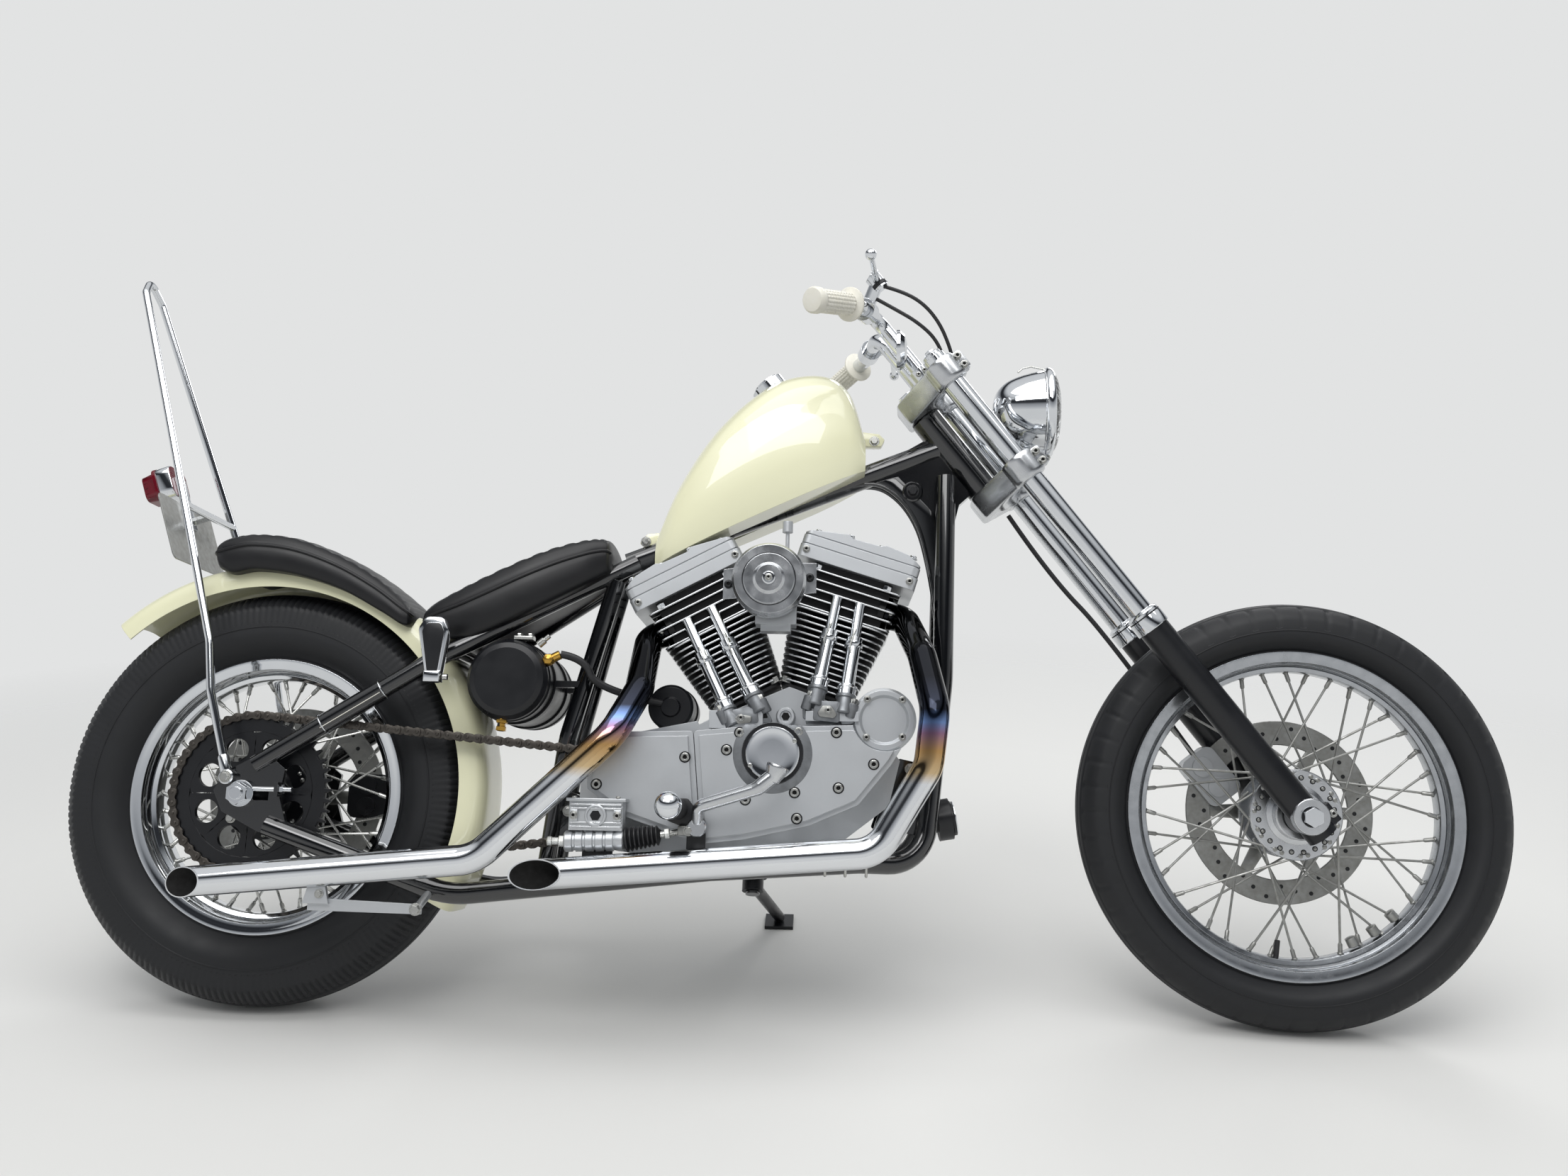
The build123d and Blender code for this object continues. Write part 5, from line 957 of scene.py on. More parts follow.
def slashed_pipe(name, cad_node, sign, slash, points, radii):
    piece = Piece(name, "frame", HOT_CHROME, BORE_SHADE_AND_SOOT)
    path = bend(points, radii, 14)
    end = path[-1]
    way = (path[-1] - path[-2]).normalized()
    before = end - way * 110
    frames = carried(path[:-1] + [before])
    cut = way * math.sin(math.radians(slash)) + Vector(RIGHT) * math.cos(math.radians(slash))
    tip = end + Vector((0, PIPE_RADIUS, 0))
    across, up = frames[-1][1:]

    def mouth(radius):
        ring = []
        for a in round_angles(64):
            side = (across * math.cos(a) + up * math.sin(a)) * radius
            reach = (tip - before - side).dot(cut) / way.dot(cut)
            ring.append(before + side + way * reach)
        return ring

    def ring_at(point, right, upward, radius):
        return [point + (right * math.cos(a) + upward * math.sin(a)) * radius for a in round_angles(64)]

    piece.skin([ring_at(*place, PIPE_RADIUS) for place in frames] + [mouth(PIPE_RADIUS)], HOT_CHROME,
               ends=False)
    piece.skin([mouth(PIPE_RADIUS), mouth(PIPE_BORE)], HOT_CHROME, ends=False)
    # the bore is black far into the pipe and closed at its end: painted shade, with soot
    deep = ring_at(end - way * 318, across, up, PIPE_BORE)
    piece.skin([mouth(PIPE_BORE), deep], BORE_SHADE_AND_SOOT, ends=False)
    piece.lathe([(PIPE_BORE, 0), (PIPE_BORE, 1)], end - way * 319, way, BORE_SHADE_AND_SOOT, 40)
    flange = port(sign, PORT_OUT, -34)
    out = port(sign, PORT_OUT + 9, -34) - flange
    piece.lathe([(27, 0), (29, 1), (29, 7.5), (27.5, 9), (22.6, 9)], flange, out, HOT_CHROME, 48)
    for turn in (-1, 1):
        piece.hex_bolt(flange + out * 0.9 + Vector((0, turn * 25.6, 0)), out, 4.5, 5, ZINC)
    piece.done(cad_node, slot="chrome")


slashed_pipe("front_exhaust_pipe", "front_exhaust", 1, 27,
             [port(1, PORT_OUT, -34), port(1, PORT_OUT + 34, -48), (1030, -140, 556), (1046, PIPE_Y, 470),
              (1036, PIPE_Y, 386), (962, PIPE_Y, 262), (424, PIPE_Y, 216)], [30, 40, 60, 60, 56])
slashed_pipe("rear_exhaust_pipe", "rear_exhaust", -1, 32,
             [port(-1, PORT_OUT, -34), port(-1, PORT_OUT + 34, -48), (602, -140, 496), (572, PIPE_Y, 424),
              (380, PIPE_Y, 240), (-82, PIPE_Y, 194)], [30, 40, 60, 70])


# Fork clamps: polished castings with soft edges, a ring round each leg, split ears, the stem and its nut
clamps = Piece("fork_clamps_polished", "fork", POLISHED_ALUMINIUM, CHROME, ZINC)
half_clamp = [(-86, 30), (-8, 117), (16, 112), (24, 96), (22, 78), (-14, 60)]
clamp_outline = rounded(half_clamp + flipped(half_clamp), 16, 6)
ear_outline = rounded(rectangle(-13, -17, 9, 17), 6)
leg_ring = [(24, -1), (26.4, 0), (28.2, 3), (28.6, 8), (28.6, 34), (28.2, 39), (26.4, 42), (21, 43.4),
            (19.8, 43)]
for up in CLAMPS_UP:
    low = up - CLAMP_THICK / 2
    clamps.slab([(y, x) for x, y in clamp_outline], on_fork(low), (0, 1, 0), FORK_FRONT, CLAMP_THICK,
                POLISHED_ALUMINIUM, 5)
    for side in (-1, 1):
        clamps.lathe(leg_ring, on_fork(low, 0, side * FORK_HALF), FORK_UP, POLISHED_ALUMINIUM, 64)
        for start in (-12.4, 1.6):
            clamps.slab(ear_outline, on_fork(up, 30, side * FORK_HALF + start), FORK_FRONT, FORK_UP, 10.8,
                        POLISHED_ALUMINIUM, 1.5)
clamps.lathe([(12.5, 0), (12.5, 160)], on_head(700), FORK_UP, CHROME, 32)
clamps.lathe([(18.6, 0), (19.5, 1), (19.5, 9), (18.6, 10), (10, 10)], on_head(901), FORK_UP, CHROME, 6)
clamps.lathe([(26, -1), (27, 0), (27, 2), (25, 3), (1, 3)], on_head(900), FORK_UP, POLISHED_ALUMINIUM, 48)
clamps.done("fork_clamps", slot="satin_aluminium", smooth=40)


# Headlamp: smooth chrome bowl, reflector and bulb, on a bent stem with its nut
LAMP_AT = on_fork(762.7, 82)
bowl = Piece("headlamp_bowl", "fork", CHROME, POLISHED_ALUMINIUM)
bowl_line = [(1, -57), (17, -56), (36, -49), (51, -34), (61, -12), (67, 10), (70, 26)]
bowl_outline = [tuple(smooth_line(bowl_line, k / 40)) for k in range(41)] + [(72, 27), (72, 30)]
reflector = [(70, 36), (60, 22), (44, 8), (26, -3), (10, -8), (0.5, -8)]
bowl.lathe(bowl_outline, LAMP_AT, (1, 0, 0), CHROME, 96, ends=False)
bowl.lathe(reflector, LAMP_AT, (1, 0, 0), POLISHED_ALUMINIUM, 72, ends=False)
bowl.lathe([(9, -8), (9, 12), (7, 17), (0.5, 18)], LAMP_AT, (1, 0, 0), CHROME, 28)
elbow = on_fork(690, 22)
under_bowl = on_fork(716.7, 43.5)
bowl.bar(on_fork(690, -13), on_fork(690, 30), 10, CHROME, 32, 2)
bowl.bar(elbow, under_bowl, 10, CHROME, 32, 2)
bowl.lathe([(12, -2), (15, 0), (15, 4), (12, 7)], on_fork(708, 36), under_bowl - elbow, CHROME, 36)
bowl.lathe([(13, 0), (13, 9), (11, 11), (0.5, 11)], on_fork(690, 19), FORK_FRONT, CHROME, 6)
bowl.done("headlamp", slot="chrome", smooth=50)


# Rear master cylinder: finned body with a screwed cap, plug, cylinder barrel, bellows, push rod and bracket
master = Piece("master_cylinder_finned", "frame", CAST_ALUMINIUM, BLACK_RUBBER, ZINC)
master.block((552, -169, 306), (80, 28, 44), CAST_ALUMINIUM, 3)
master.block((552, -170, 328.5), (88, 34, 5), CAST_ALUMINIUM, 1.5)
for z in (289.5, 295.5, 316, 321.5):
    master.block((552, -184.2, z), (76, 4.6, 2.6), GROUND_EDGE, 0.8)
for x in (520, 584):
    master.block((x, -184, 306), (12, 5, 18), CAST_ALUMINIUM, 2)
    master.socket_screw((x, -186.4, 306), RIGHT, 4.6)
    master.lathe([(3.6, 0), (3.6, 2), (2.6, 3), (1, 3)], (x, -184, 331), (0, 0, 1), ZINC, 20)
master.lathe([(16, 0), (16, 4), (14.5, 5), (12.5, 5), (12, 3), (0.5, 3)], (552, -183, 306), RIGHT,
             CAST_ALUMINIUM, 44)
master.lathe([(8, 0), (8, 1.6), (0.5, 1.6)], (552, -186, 306), RIGHT, SATIN_BLACK, 6)
barrel_way = Vector((88, 0, 3)).normalized()
barrel = [(13, 0)] + ribbed(5, 15, [(15.4, 2), (15.4, 12), (13.4, 13), (13.4, 16)])
barrel_end = (506, -170, 268)
master.lathe(barrel[:-1] + [(15.4, 80), (15.4, 86), (12, 88)], barrel_end, barrel_way, CAST_ALUMINIUM, 40)
bellows = Vector((594, -170, 272))
along = Vector((52, 0, 8)).normalized()
folds = ribbed(8, 6.4, [(14, 0.4), (18.6, 2.6), (18.6, 4.2)], 0.55)
master.lathe([(13, -1)] + folds + [(9, 52), (5.4, 53)], bellows, along, BLACK_RUBBER, 40)
rod_way = Vector((680, -170, 286)) - bellows
master.bar(bellows + along * 50, (676, -170, 285.5), 4.6, ZINC, 20)
master.lathe([(8, 0), (8, 7)], (653, -170, 281.5), rod_way, ZINC, 6)
master.block((684, -170, 287), (24, 16, 14), GALVANISED, 2)
master.hex_bolt((688, -178.5, 287), RIGHT, 6, 5)
plug = [(9, 0), (9, 8), (6, 9), (6, 18), (7.5, 19), (7.5, 25), (4, 27)]
master.lathe(plug, barrel_end, (-1, 0, 0), ZINC, 6)
master.plate(rounded(rectangle(530, 206, 575, 258), 4), -159, -155, SATIN_BLACK, 0.8)
master.block((552, -138, 210), (28, 40, 8), SATIN_BLACK, 1)
master.done("master_cylinder", slot="satin_aluminium")


# Foot controls: a polished brake arm that thickens to its upturned pad, and the gear lever on the left
controls = Piece("pedal_and_lever", "frame", POLISHED_ALUMINIUM, BLACK_RUBBER, ZINC)
arm = bend([(700, -178, 300), (702, -192, 322), (788, -206, 349), (816, -206, 372)], [12, 26], 10)
controls.tube(arm, [8.4 + 3.2 * k / (len(arm) - 1) for k in range(len(arm))], POLISHED_ALUMINIUM, 28)
pad_way = Vector((7, 0, 18)).normalized()
controls.lathe([(10, -10), (12, -3), (16.6, 9), (17, 12), (16, 14.6), (12, 15.4), (0.5, 15.6)],
               Vector((813, -206, 369)), pad_way, POLISHED_ALUMINIUM, 40)
lever = bend([(700, 178, 300), (702, 194, 322), (800, 206, 346)], [14], 10)
controls.tube(lever, [7.6] * len(lever), POLISHED_ALUMINIUM, 24)
for side, wide in ((-1, 14), (1, 13)):
    hub = [(12, 0), (wide, 1), (wide, 17), (wide - 1.6, 18.6), (0.5, 18.6)]
    controls.lathe(hub, (700, side * 165.4, 292), (0, side, 0), POLISHED_ALUMINIUM, 40)
ribs = ribbed(5, 6.4, [(9.6, 0.6), (11, 1.8), (11, 4.2), (9.6, 5.4)])
controls.lathe([(8, -1)] + ribs + [(8, 32.5), (0.5, 32.5)], (796, 200, 345), (2, 32, 1), BLACK_RUBBER, 32)
controls.done("foot_controls", slot="satin_aluminium", smooth=40)


# Foot pegs: chrome ball ends on ribbed rubber for the rider, flat folded blades in clevises for the passenger
pegs = Piece("pegs_chromed", "frame", CHROME, BLACK_RUBBER, SATIN_BLACK)
for side in (-1, 1):
    foot = Vector((668, side * 161, 318))
    way = (Vector((664, side * 236, 322)) - foot).normalized()
    pegs.bar(foot, foot + way * 74, 11, CHROME, 32)
    ribs = ribbed(8, 6.6, [(14, 5), (16.4, 6.2), (16.4, 9.4), (14, 10.6)])
    pegs.lathe([(11, 4)] + ribs + [(11, 59)], foot, way, BLACK_RUBBER, 40)
    pegs.ball((664, side * 240, 322), 20, CHROME, 48)
    pegs.lathe([(12, 57), (15, 58), (15, 61), (12, 63)], foot, way, CHROME, 40)
    bracket = [(684, 222), (712, 222), (712, 300), (684, 334), (652, 334), (652, 302), (684, 290)]
    pegs.plate(rounded(bracket, 8), side * 163 - 2, side * 163 + 2, SATIN_BLACK, 1)
    # folded blade: rounded head, chrome edge and a dark ribbed panel let into it
    blade = rounded([(282, 500), (303, 500), (313, 578), (304, 598), (276, 598), (265, 580)], 13, 8)
    panel = rounded([(284, 512), (299, 512), (306, 574), (300, 588), (280, 588), (272, 576)], 7, 6)
    pegs.plate(blade, side * 161 - 9, side * 161 + 9, CHROME, 3.5)
    pegs.plate(panel, side * 170.2 - 0.4, side * 170.2 + 0.4, SATIN_BLACK, 0.3)
    pegs.bar((289, side * 108, 548), (289, side * 142, 545), 9, CHROME, 32)
    cheek = rounded(rectangle(277, 528, 303, 560), 7)
    pegs.plate(cheek, side * 144.9 - 6.6, side * 144.9 + 6.6, CHROME, 1)
    pegs.block((291, side * 161, 507), (25, 22, 17), CHROME, 3)
    pegs.bar((306, side * 161, 507), (313, side * 161, 507), 4.6, ZINC, 24)
pegs.done("foot_pegs", slot="chrome", smooth=40)


# Tappet blocks: castings under the pushrods with small lids, slotted lugs and their bolts
blocks = Piece("tappet_blocks", "frame", OILED_CASTING, ZINC, BORE_SHADE_AND_SOOT)
plates = [[(742, 448), (742, 469), (768, 475), (782, 465), (784, 450)],
          [(866, 456), (867, 474), (871, 486), (906, 485), (907, 452)]]
lids = [[(747, 455), (753, 462), (774, 460), (772, 450), (753, 447)],
        [(873, 467), (880, 478), (893, 478), (903, 465), (898, 459), (876, 461)]]
for plate_outline, lid in zip(plates, lids):
    blocks.plate(rounded(plate_outline, 5), -127, -113, OILED_CASTING, 1.4)
    blocks.plate(rounded(lid, 4), -130, -126, GALVANISED, 0.8)
for x, z in ((757, 457), (889, 471)):
    blocks.socket_screw((x, -130, z), RIGHT, 4)
for lug in ([(784, 476), (795, 472), (806, 452), (786, 450)],
            [(849, 484), (863, 486), (866, 456), (851, 458)],
            [(908, 476), (920, 479), (930, 452), (909, 450)]):
    middle = Vector((sum(x for x, z in lug) / 4, sum(z for x, z in lug) / 4))
    blocks.plate(rounded(lug, 4), -122, -112, OILED_CASTING, 1.2)
    # each slot is a thin black plate: painted shade
    slot = [tuple(middle + (Vector(corner) - middle) * 0.42) for corner in lug]
    blocks.plate(rounded(slot, 2), -122.4, -121.8, BORE_SHADE_AND_SOOT, 0.1)
rod_socket = [(12, -30), (13.4, -28), (13.4, -5), (15.6, -4), (15.6, 1), (12, 2)]
for low, way, reach in pushrods():
    blocks.lathe(rod_socket, low, way, OILED_CASTING, 36)
for x, z, sign in ((724, 468, -1), (786, 486, -1), (861, 493, 1), (928, 482, 1)):
    up = bank(sign)
    at = Vector((x, -120, z))
    blocks.lathe([(7.4, -22), (8.4, -20), (8.4, -1), (7, 0)], at, up, OILED_CASTING, 28)
    blocks.lathe([(6, 0), (6, 6), (5, 8), (0.5, 8)], at, up, ZINC, 6)
# threaded boss in the valley between the two blocks
blocks.lathe([(15, 0), (15, 34), (13, 36), (9, 36), (8.4, 33), (0.5, 33)], (824, -64, 463), RIGHT,
             CAST_ALUMINIUM, 44)
# its bore is a flat black disc: painted shade
blocks.lathe([(6.6, 0), (6.6, 1), (0.5, 1)], (824, -97.4, 463), RIGHT, BORE_SHADE_AND_SOOT, 6)
# dark cone round the timing cover, cut off by the cover's top edge
cone = []
for radius, out in ((60, -149.8), (56, -151.4), (50, -152.6), (46.4, -153.2)):
    ring = []
    for a in round_angles(96):
        reach = min(radius, 43 / math.sin(a)) if math.sin(a) > 0.3 else radius
        ring.append(around(Vector((TIMING_X, out, TIMING_Z)), reach, a))
    cone.append(ring)
blocks.skin(cone, OILED_CASTING, ends=False)
blocks.done()


# Neck gusset: plate with its arch over the engine and rolled edges
gusset = Piece("neck_gusset", "frame", BLACK_ENAMEL)
arch_line = [(913, 849), (948, 858), (979, 852), (1010, 826), (1034, 785), (1049, 731), (1060, 669),
             (1066, 607)]
arch = [tuple(smooth_line(arch_line, k / 28)) for k in range(29)]
gusset.plate(arch + [(1078, 607), (1086, 690), (1088, 781), (1000, 872)], -12.8, 12.8, BLACK_ENAMEL, 2)
edge = [Vector((x, -12.2, z)) for x, z in arch]
gusset.tube(edge, 3.2, BLACK_ENAMEL, 12)
gusset.tube([mirrored(point) for point in edge], 3.2, BLACK_ENAMEL, 12)
gusset.done()


# Oil tank: brass elbows, the top bracket with its bolts and a plated union
oil = Piece("oil_fittings", "frame", BRASS, ZINC, SATIN_BLACK)
union = Vector((434, -100, 533.5))
union_way = Vector((39, 0, 20)).normalized()
oil.lathe([(8.4, 0), (9, 1), (9, 9), (8.4, 10), (6.4, 10.4), (6.4, 16)], union, union_way, BRASS, 6)
oil.lathe([(6.4, 14), (8.6, 15), (8.6, 27), (7.2, 28), (7.2, 40), (6.2, 41)], union, union_way, BRASS, 24)
oil.ball(union + union_way * 21 + Vector((0, -2, 0)), 9.6, BRASS, 24)
oil.lathe([(6.4, 0), (8.4, 1), (8.4, 9), (6.4, 10)], union + union_way * 21, (0, -1, 0.1), BRASS, 6)
low_union = Vector((385.5, -100, 452))
down = Vector((-3, 0, -40)).normalized()
oil.lathe([(8.4, 0), (9, 1), (9, 8), (6.4, 9), (6.4, 13), (8, 14), (8, 20), (5, 21)], low_union, down,
          BRASS, 6)
oil.block((412, -96, 577), (30, 22, 6), ZINC, 1.5)
for x in (404, 421):
    oil.hex_bolt((x, -96, 580), (0, 0, 1), 5, 4)
oil.lathe([(6, 0), (6, 12), (4, 13), (4, 22), (1, 23)], (436, -104, 566), (1, 0, 0.9), ZINC, 20)
oil.done()


# Front end: dust caps, bare axle lugs, fork caps and pinch bolts
fork_trim = Piece("fork_trim", "fork", CHROME, POLISHED_ALUMINIUM)
for side in (-1, 1):
    fork_trim.lathe([(26.4, 0), (27.2, 1), (27.2, 20), (26, 23), (26, 28), (24, 31), (19.8, 33), (19.8, 31)],
                    on_fork(358, 0, side * FORK_HALF), FORK_UP, CHROME, 48)
    fork_trim.lathe([(15.5, -1), (15.5, 0.6), (25.8, 0.6), (27.4, -1), (27.4, -14), (26, -16)],
                    FRONT_AXLE + Vector((0, side * 116.1, 0)), (0, side, 0), POLISHED_ALUMINIUM, 56)
    fork_trim.socket_screw(on_fork(-16, 30, side * 105.2), (0, side, 0), 4.5)
    top = on_fork(918, 0, side * FORK_HALF)
    fork_trim.lathe([(16.4, -6), (16.4, 0.4), (14, 2), (9, 2), (8, 0.5), (1, 0.5)], top, FORK_UP,
                    POLISHED_ALUMINIUM, 36)
    fork_trim.lathe([(9, 2), (9, 7), (8, 8), (0.5, 8)], top, FORK_UP, CHROME, 6)
    for up in CLAMPS_UP:
        for rise in (-9, 9):
            fork_trim.socket_screw(on_fork(up + rise, 30, side * 104.2), (0, side, 0), 5)
fork_trim.done()

# Grips: white rubber with a waffle of small pads between two bands, and a flange
grip_pieces = Piece("waffle_grips", "fork", WHITE_RUBBER)
for side in (-1, 1):
    flange = on_head(1042.2, 6.1, side * 145)
    tip = on_head(1062.9, -62.7, side * 245)
    way = (tip - flange).normalized()
    start = flange + way * 22
    length = (tip - start).length
    place = Matrix.Translation(start) @ way.to_track_quat("Z", "Y").to_matrix().to_4x4()
    grip_pieces.lathe([(13, 0), (25, 0), (27, 1.5), (27, 4.5), (25, 6), (18.5, 7.5), (17.5, 9)], start, way,
                      WHITE_RUBBER, 56)
    rings = []
    rows = int((length - 24) / 2.4)
    for k in range(rows + 1):
        ring = []
        for j, a in enumerate(round_angles(72)):
            radius = 18.6 if k % 3 and j % 4 else 16.6
            ring.append(place @ Vector((radius * math.cos(a), radius * math.sin(a), 9 + k * 2.4)))
        rings.append(ring)
    grip_pieces.skin(rings, WHITE_RUBBER, ends=False)
    last = 9 + rows * 2.4
    band = [(16.6, last), (18.8, last + 0.5), (20.5, last + 3), (20.5, length - 3), (18, length + 1),
            (10, length + 2), (1, length + 2)]
    grip_pieces.lathe(band, start, way, WHITE_RUBBER, 56)
grip_pieces.done("grips", slot="white_rubber", smooth=50)

# Lamp: fluted glass bulging over the reflector, its rim, clip wire and screw
glass = Piece("headlamp_glass", "fork", LAMP_GLASS)
flutes = []
for radius, along in ((66.5, 40.6), (66, 43), (62, 46), (54, 49.2), (44, 51.8), (32, 54), (18, 55.3),
                      (0.5, 55.8)):
    ring = []
    for a in round_angles(120):
        wave = 0.5 * math.cos(30 * a) * (1 if 12 < radius < 64 else 0)
        ring.append(LAMP_AT + Vector((along + wave, radius * math.cos(a), radius * math.sin(a))))
    flutes.append(ring)
glass.skin(flutes, LAMP_GLASS)
glass.done(slot="chrome")
rim = Piece("headlamp_rim", "fork", CHROME)
bezel = []
for a in round_angles(96):
    ring = []
    for t in round_angles(10):
        r = 71 + 4.6 * math.cos(t)
        ring.append(LAMP_AT + Vector((35 + 7 * math.sin(t), r * math.cos(a), r * math.sin(a))))
    bezel.append(ring)
rim.skin(bezel, CHROME, round_trip=True)
clip_wire = [(30, 0, 75), (8, 0, 80), (-6, 0, 77), (-14, 0, 70)]
rim.tube([LAMP_AT + Vector(point) for point in clip_wire], 1.6, ZINC, 10)
rim.hex_bolt(LAMP_AT + Vector((34, 0, -76)), (0, 0, -1), 4, 4)
rim.done()

# Mirror glass, handlebar clamp screws and lever pivots
small = Piece("bar_details", "fork", CHROME, SATIN_BLACK)
mirror_at = on_head(958.3, 19.2, -92)
small.lathe([(30, -1), (30, -0.2), (0.5, -0.2)], mirror_at + Vector((0.8, 0, 0)), (1, 0, 0),
            POLISHED_ALUMINIUM, 56)
for side in (-1, 1):
    foot = on_head(901.3, 33, side * 43)
    for turn in (-1, 1):
        small.socket_screw(foot + FORK_UP * 12 + Vector((0, side * 17, 0)) + FORK_FRONT * turn * 6,
                           (0, side, 0), 3.4)
for side, pivot in ((-1, (1061.2, 56.4, 120)), (1, (1028.0, 53.4, 118))):
    at = on_head(pivot[0], pivot[1], side * pivot[2])
    small.lathe([(13.2, 12), (13.2, 13), (9, 14.5), (5, 14.5), (5, 17), (0.5, 17)], at, FORK_UP, CHROME, 32)
    small.lathe([(13.6, -9), (14.4, -8), (14.4, -3), (13.6, -2)], at, FORK_UP, SATIN_BLACK, 32)
small.done()

# Rear end: bright rings and a white line on the stay's sleeve, sissy bar clevises, plate bolts, lamp shell
stay_foot = Vector((14, -118, 371))
stay_way = (Vector((270, -112, 536)) - stay_foot).normalized()
trim = Piece("rear_trim", "frame", CHROME, ZINC)
for ring in ([(14.3, 0), (16.6, 0), (17.2, 0.6), (17.2, 1.6), (16.4, 2.2)],
             [(16.4, 104), (17.2, 104.4), (17.2, 105.4), (16.6, 106), (14.3, 106)]):
    trim.lathe(ring, stay_foot + stay_way * 117, stay_way, CHROME, 48, ends=False)
line = stay_foot + Vector((0, -15.2, -6.2))
trim.bar(line + stay_way * 118, line + stay_way * 222, 0.7, WHITE_RUBBER, 8)
for side in (-1, 1):
    # clevis and bolt at the foot of each leg, and the plate bracket's screw on it
    foot = Vector((-23, side * 128.65, 352))
    leg = (Vector((-62, side * 128.65, 481)) - foot).normalized()
    trim.lathe([(6.4, 8), (9, 10), (9, 30), (7.5, 34), (6.4, 34)], foot, leg, CHROME, 24)
    trim.lathe([(10.4, -7), (11.4, -6), (11.4, 6), (10.4, 7)], foot, (0, side, 0), CHROME, 32)
    trim.hex_bolt(foot + Vector((0, side * 6.6, 0)), (0, side, 0), 7, 5)
    trim.socket_screw((-157, side * 85, 788), (0, side, 0), 4)
strap = Matrix.Translation((-190, 0, 776)) @ Matrix.Rotation(-math.atan2(220, 615), 4, "Y")
shell = rounded(rectangle(-29.8, 45.2, 29.8, 100.8), 15, 8)
trim.slab(shell, (-0.4, 0, 0), (0, 1, 0), (0, 0, 1), 27, CHROME, 2.0, strap)
for y, z in ((-60, 20), (60, 20), (-8, -40), (8, 28)):
    trim.hex_bolt(strap @ Vector((-2.4, y, z)), strap.to_3x3() @ Vector((-1, 0, 0)), 4.5, 3)
trim.done()
lens = Piece("tail_lamp_lens", "frame", RED_LENS)
outline = rounded(rectangle(-30.8, 44.2, 30.8, 101.8), 16, 8)
lens.slab(outline, (-25, 0, 0), (0, 1, 0), (0, 0, 1), 6, RED_LENS, 1.5, strap)
face = rounded(rectangle(-26, 49, 26, 97), 13, 8)
rings = []
for depth, inset in ((0, 0), (8, 0.6), (15, 2), (19, 5), (21, 9), (21.6, 14)):
    middle = Vector((0, 73))
    rings.append([strap @ Vector((-31 - depth, y, z)) for y, z in inwards(face, inset, middle)])
lens.skin(rings, RED_LENS)
for k in range(5):
    low = 53.5 + 9 * k
    rib = rectangle(-25.6, low, 25.6, low + 1.5)
    lens.slab(rib, (-31, 0, 0), (0, 1, 0), (0, 0, 1), 17, RED_LENS, 0.3, strap)
lens.done(slot="red_lens")

# Frame: neck boss bolt, tank and engine bolts, the hanger's bolts, hooks under the rail and the horn's ring
frame_bolts = Piece("frame_bolts", "frame", ZINC, CHROME)
for side in (-1, 1):
    out = (0, side, 0)
    frame_bolts.lathe([(17, 0), (17, 3), (15, 4.5), (1, 4.5)], (1024, side * 12, 846), out, BLACK_ENAMEL, 40)
    frame_bolts.hex_bolt((1024, side * 16.5, 846), out, 8, 6, SATIN_BLACK)
    for x, y, z in ((960, 9, 933), (584, 9, 755), (1018, 66, 388), (1006, 66, 306), (486, 53, 312)):
        frame_bolts.hex_bolt((x, side * y, z), out, 6.5, 5)
frame_bolts.hex_bolt((158, -193.2, 186), RIGHT, 5, 4)
frame_bolts.hex_bolt((298, -187.2, 167), RIGHT, 7, 5)
for x in (888, 918, 949):
    hook = bend([(x, -127, 252), (x, -140, 240), (x, -136, 224), (x, -126, 228)], [6, 6], 6)
    frame_bolts.tube(hook, 2.2, ZINC, 10)
frame_bolts.lathe([(25, 0), (26, 1), (26, 2.5), (20, 3)], (1088, -30, 315), (1, 0, 0.19), CHROME, 48)
frame_bolts.lathe([(19, 0), (19, 1.6), (6, 3.4), (0.5, 3.6)], (1088, -30, 315), (1, 0, 0.19), RED_LENS, 40)
frame_bolts.done()

# Free hoses and cables: one curve each, bent from a few control points
def cord(name, body, points, radius, *stands_for):
    data = bpy.data.curves.new(name, "CURVE")
    data.dimensions = "3D"
    data.bevel_depth = radius * MM
    data.bevel_resolution = 6
    data.use_fill_caps = True
    data.resolution_u = 16
    data.materials.append(BLACK_RUBBER)
    line = data.splines.new("NURBS")
    line.points.add(len(points) - 1)
    for control, point in zip(line.points, points):
        control.co = (PLACE[body] @ Vector(point)).to_4d()
    line.order_u = 3
    line.use_endpoint_u = True
    made = bpy.data.objects.new(name, data)
    bpy.context.scene.collection.objects.link(made)
    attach(made, body)
    if stands_for:
        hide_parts(*stands_for)


cord("front_brake_hose_curve", "fork",
     [on_fork(650.3, -38.9, 60), on_fork(524.5, -48.4, 62), on_fork(388.6, -35.2, 62),
      on_fork(147.6, -48.4, 66)], 4, "front_brake_hose")
cord("oil_hose_upper", "frame",
     [(471, -100, 552.5), (508, -90, 548), (524, -84, 500), (634, -44, 482)], 6, "oil_lines")
cord("throttle_cable", "fork",
     [(974, -118, 1166), (1006, -114, 1158), (1040, -108, 1140), (1066, -96, 1112), (1083, -80, 1078),
      (1093, -64, 1046), (1090, -48, 1012)], 3)
cord("front_brake_cable", "fork",
     [(962, -118, 1146), (996, -113, 1128), (1030, -108, 1109), (1060, -94, 1086), (1076, -74, 1056),
      (1082, -56, 1018)], 3)


# Floor, lamps and camera, in metres
FLOOR_FADE = (1.6, 3.6)


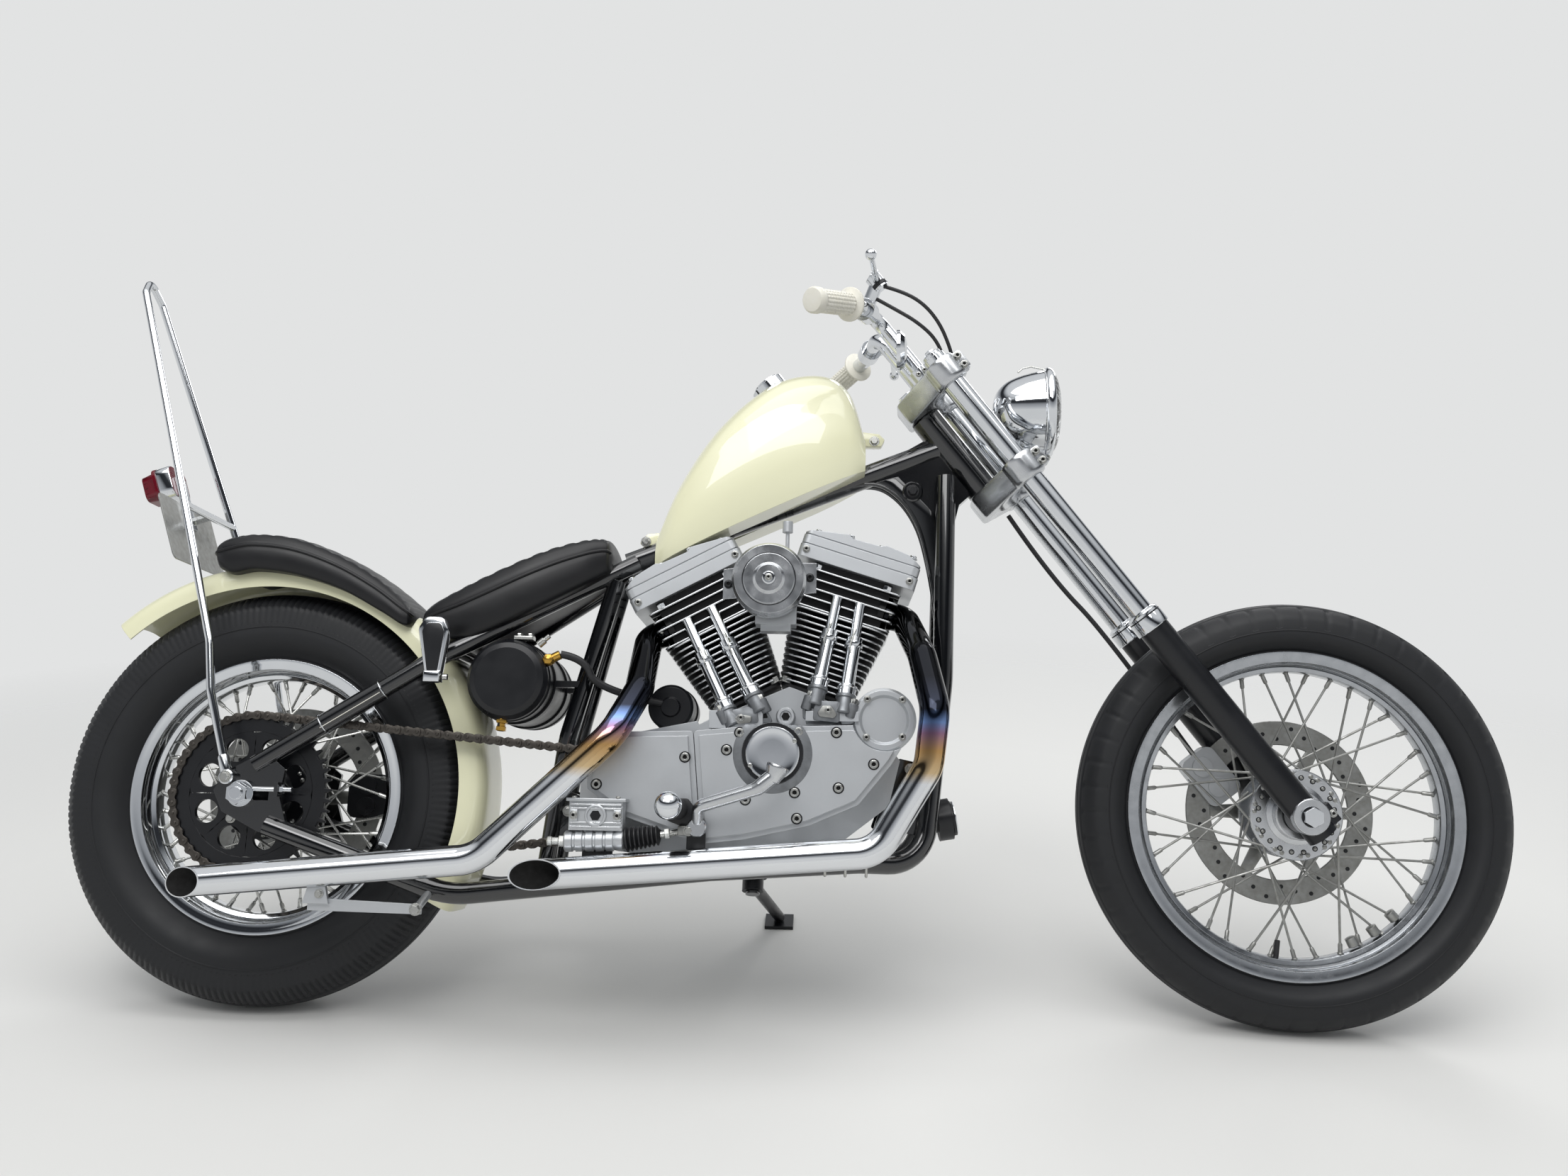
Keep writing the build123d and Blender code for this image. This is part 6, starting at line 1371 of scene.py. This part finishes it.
def flat_stage(name, size, height, colour, rough):
    # pale floor that keeps the shadow and fades into the backdrop further out
    material = finish(name, colour, colour, 400, rough, rough, 30, 0.0)
    tree = material.node_tree
    where = node(tree, "ShaderNodeTexCoord").outputs["Object"]
    reach = node(tree, "ShaderNodeVectorMath", {0: where}, operation="LENGTH")
    fade = node(tree, "ShaderNodeMapRange", {
        "Value": reach.outputs["Value"], "From Min": FLOOR_FADE[0], "From Max": FLOOR_FADE[1]})
    surface = part_of(material, "ShaderNodeBsdfPrincipled")[0]
    clear = node(tree, "ShaderNodeBsdfTransparent")
    both = node(tree, "ShaderNodeMixShader", {0: fade.outputs["Result"], 1: surface.outputs["BSDF"],
                                              2: clear.outputs["BSDF"]})
    output = part_of(material, "ShaderNodeOutputMaterial")[0]
    tree.links.new(both.outputs["Shader"], output.inputs["Surface"])
    data = bpy.data.meshes.new(name)
    corners = [(x * size, y * size, height) for x, y in ((-1, -1), (1, -1), (1, 1), (-1, 1))]
    data.from_pydata(corners, [], [(0, 1, 2, 3)])
    data.materials.append(material)
    made = bpy.data.objects.new(name, data)
    bpy.context.scene.collection.objects.link(made)


flat_stage("studio_floor", 6, 0.0, "#D8D7D4", 0.7)


def lamp(name, size, at, power):
    light = bpy.data.lights.new(name, "AREA")
    light.shape = "RECTANGLE"
    light.size, light.size_y = size
    light.energy = power
    made = bpy.data.objects.new(name, light)
    made.location = at
    made.rotation_euler = (-Vector(at)).to_track_quat("-Z", "Y").to_euler()
    bpy.context.scene.collection.objects.link(made)


lamp("top_softbox", (4.4, 3.2), (0.2, -0.6, 4.2), 96)
lamp("front_softbox", (5.0, 1.6), (-1.2, -3.4, 5.0), 110)
lamp("far_strip", (2.4, 0.8), (1.8, 3.4, 2.8), 36)

# The room: a pale backdrop for the eye, grey and dark bands for mirrors to see, and an even fill for the rest
BACKDROP = "#E2E3E3"
world = bpy.data.worlds.new("studio")
bpy.context.scene.world = world
world.use_nodes = True
sky = world.node_tree
sky.nodes.clear()
ray = node(sky, "ShaderNodeLightPath")
way = node(sky, "ShaderNodeSeparateXYZ", {0: node(sky, "ShaderNodeTexCoord").outputs["Generated"]})
bands = node(sky, "ShaderNodeValToRGB", {"Fac": way.outputs["Z"]})
bands.color_ramp.elements[0].color = linear(BACKDROP)
bands.color_ramp.elements[1].color = linear("#ECEDEE")
for place, colour in ((0.16, BACKDROP), (0.28, "#BFC1C4"), (0.42, "#94979B"), (0.49, "#2C2E32"),
                      (0.58, "#34363A"), (0.65, "#AEB1B4"), (0.72, "#DCDEE0")):
    bands.color_ramp.elements.new(place).color = linear(colour)
fill = node(sky, "ShaderNodeRGB")
fill.outputs[0].default_value = linear("#BEC1C4")
backdrop = node(sky, "ShaderNodeRGB")
backdrop.outputs[0].default_value = linear(BACKDROP)
mirrored_room = node(sky, "ShaderNodeMath", {
    0: ray.outputs["Is Glossy Ray"], 1: ray.outputs["Is Transmission Ray"]}, operation="MAXIMUM")
mix = node(sky, "ShaderNodeMix", {"Factor": mirrored_room.outputs[0]}, data_type="RGBA")
sky.links.new(fill.outputs[0], mix.inputs["A"])
sky.links.new(bands.outputs["Color"], mix.inputs["B"])
seen = node(sky, "ShaderNodeMix", {"Factor": ray.outputs["Is Camera Ray"]}, data_type="RGBA")
sky.links.new(mix.outputs["Result"], seen.inputs["A"])
sky.links.new(backdrop.outputs[0], seen.inputs["B"])
glow = node(sky, "ShaderNodeBackground", {"Color": seen.outputs["Result"], "Strength": 1.0})
node(sky, "ShaderNodeOutputWorld", {"Surface": glow.outputs[0]})

# Camera: the photograph's place and angle
YAW = math.radians(1.71)
PITCH = math.radians(7.5)
ROLL = math.radians(0.75)
SENSOR_MM = 36
FOCAL_PIXELS = 1800
PHOTO_WIDTH = 2212
seat_of_camera = Vector((876.3, -1874, 923.6)) + SHIFT
ahead = Matrix.Rotation(YAW, 3, "Z") @ Matrix.Rotation(-PITCH, 3, "X") @ Vector((0, 1, 0))
right = Matrix.Rotation(YAW, 3, "Z") @ Vector((1, 0, 0))
over = right.cross(ahead)
right_rolled = right * math.cos(ROLL) + over * math.sin(ROLL)
over_rolled = -right * math.sin(ROLL) + over * math.cos(ROLL)
lens = bpy.data.cameras.new("camera")
lens.sensor_width = SENSOR_MM
lens.lens = SENSOR_MM * FOCAL_PIXELS / PHOTO_WIDTH
camera = bpy.data.objects.new("camera", lens)
turn = Matrix((right_rolled, over_rolled, -ahead)).transposed()
camera.matrix_world = Matrix.Translation(seat_of_camera * MM) @ turn.to_4x4()
bpy.context.scene.collection.objects.link(camera)
bpy.context.scene.camera = camera
bpy.context.scene.view_settings.view_transform = "Standard"
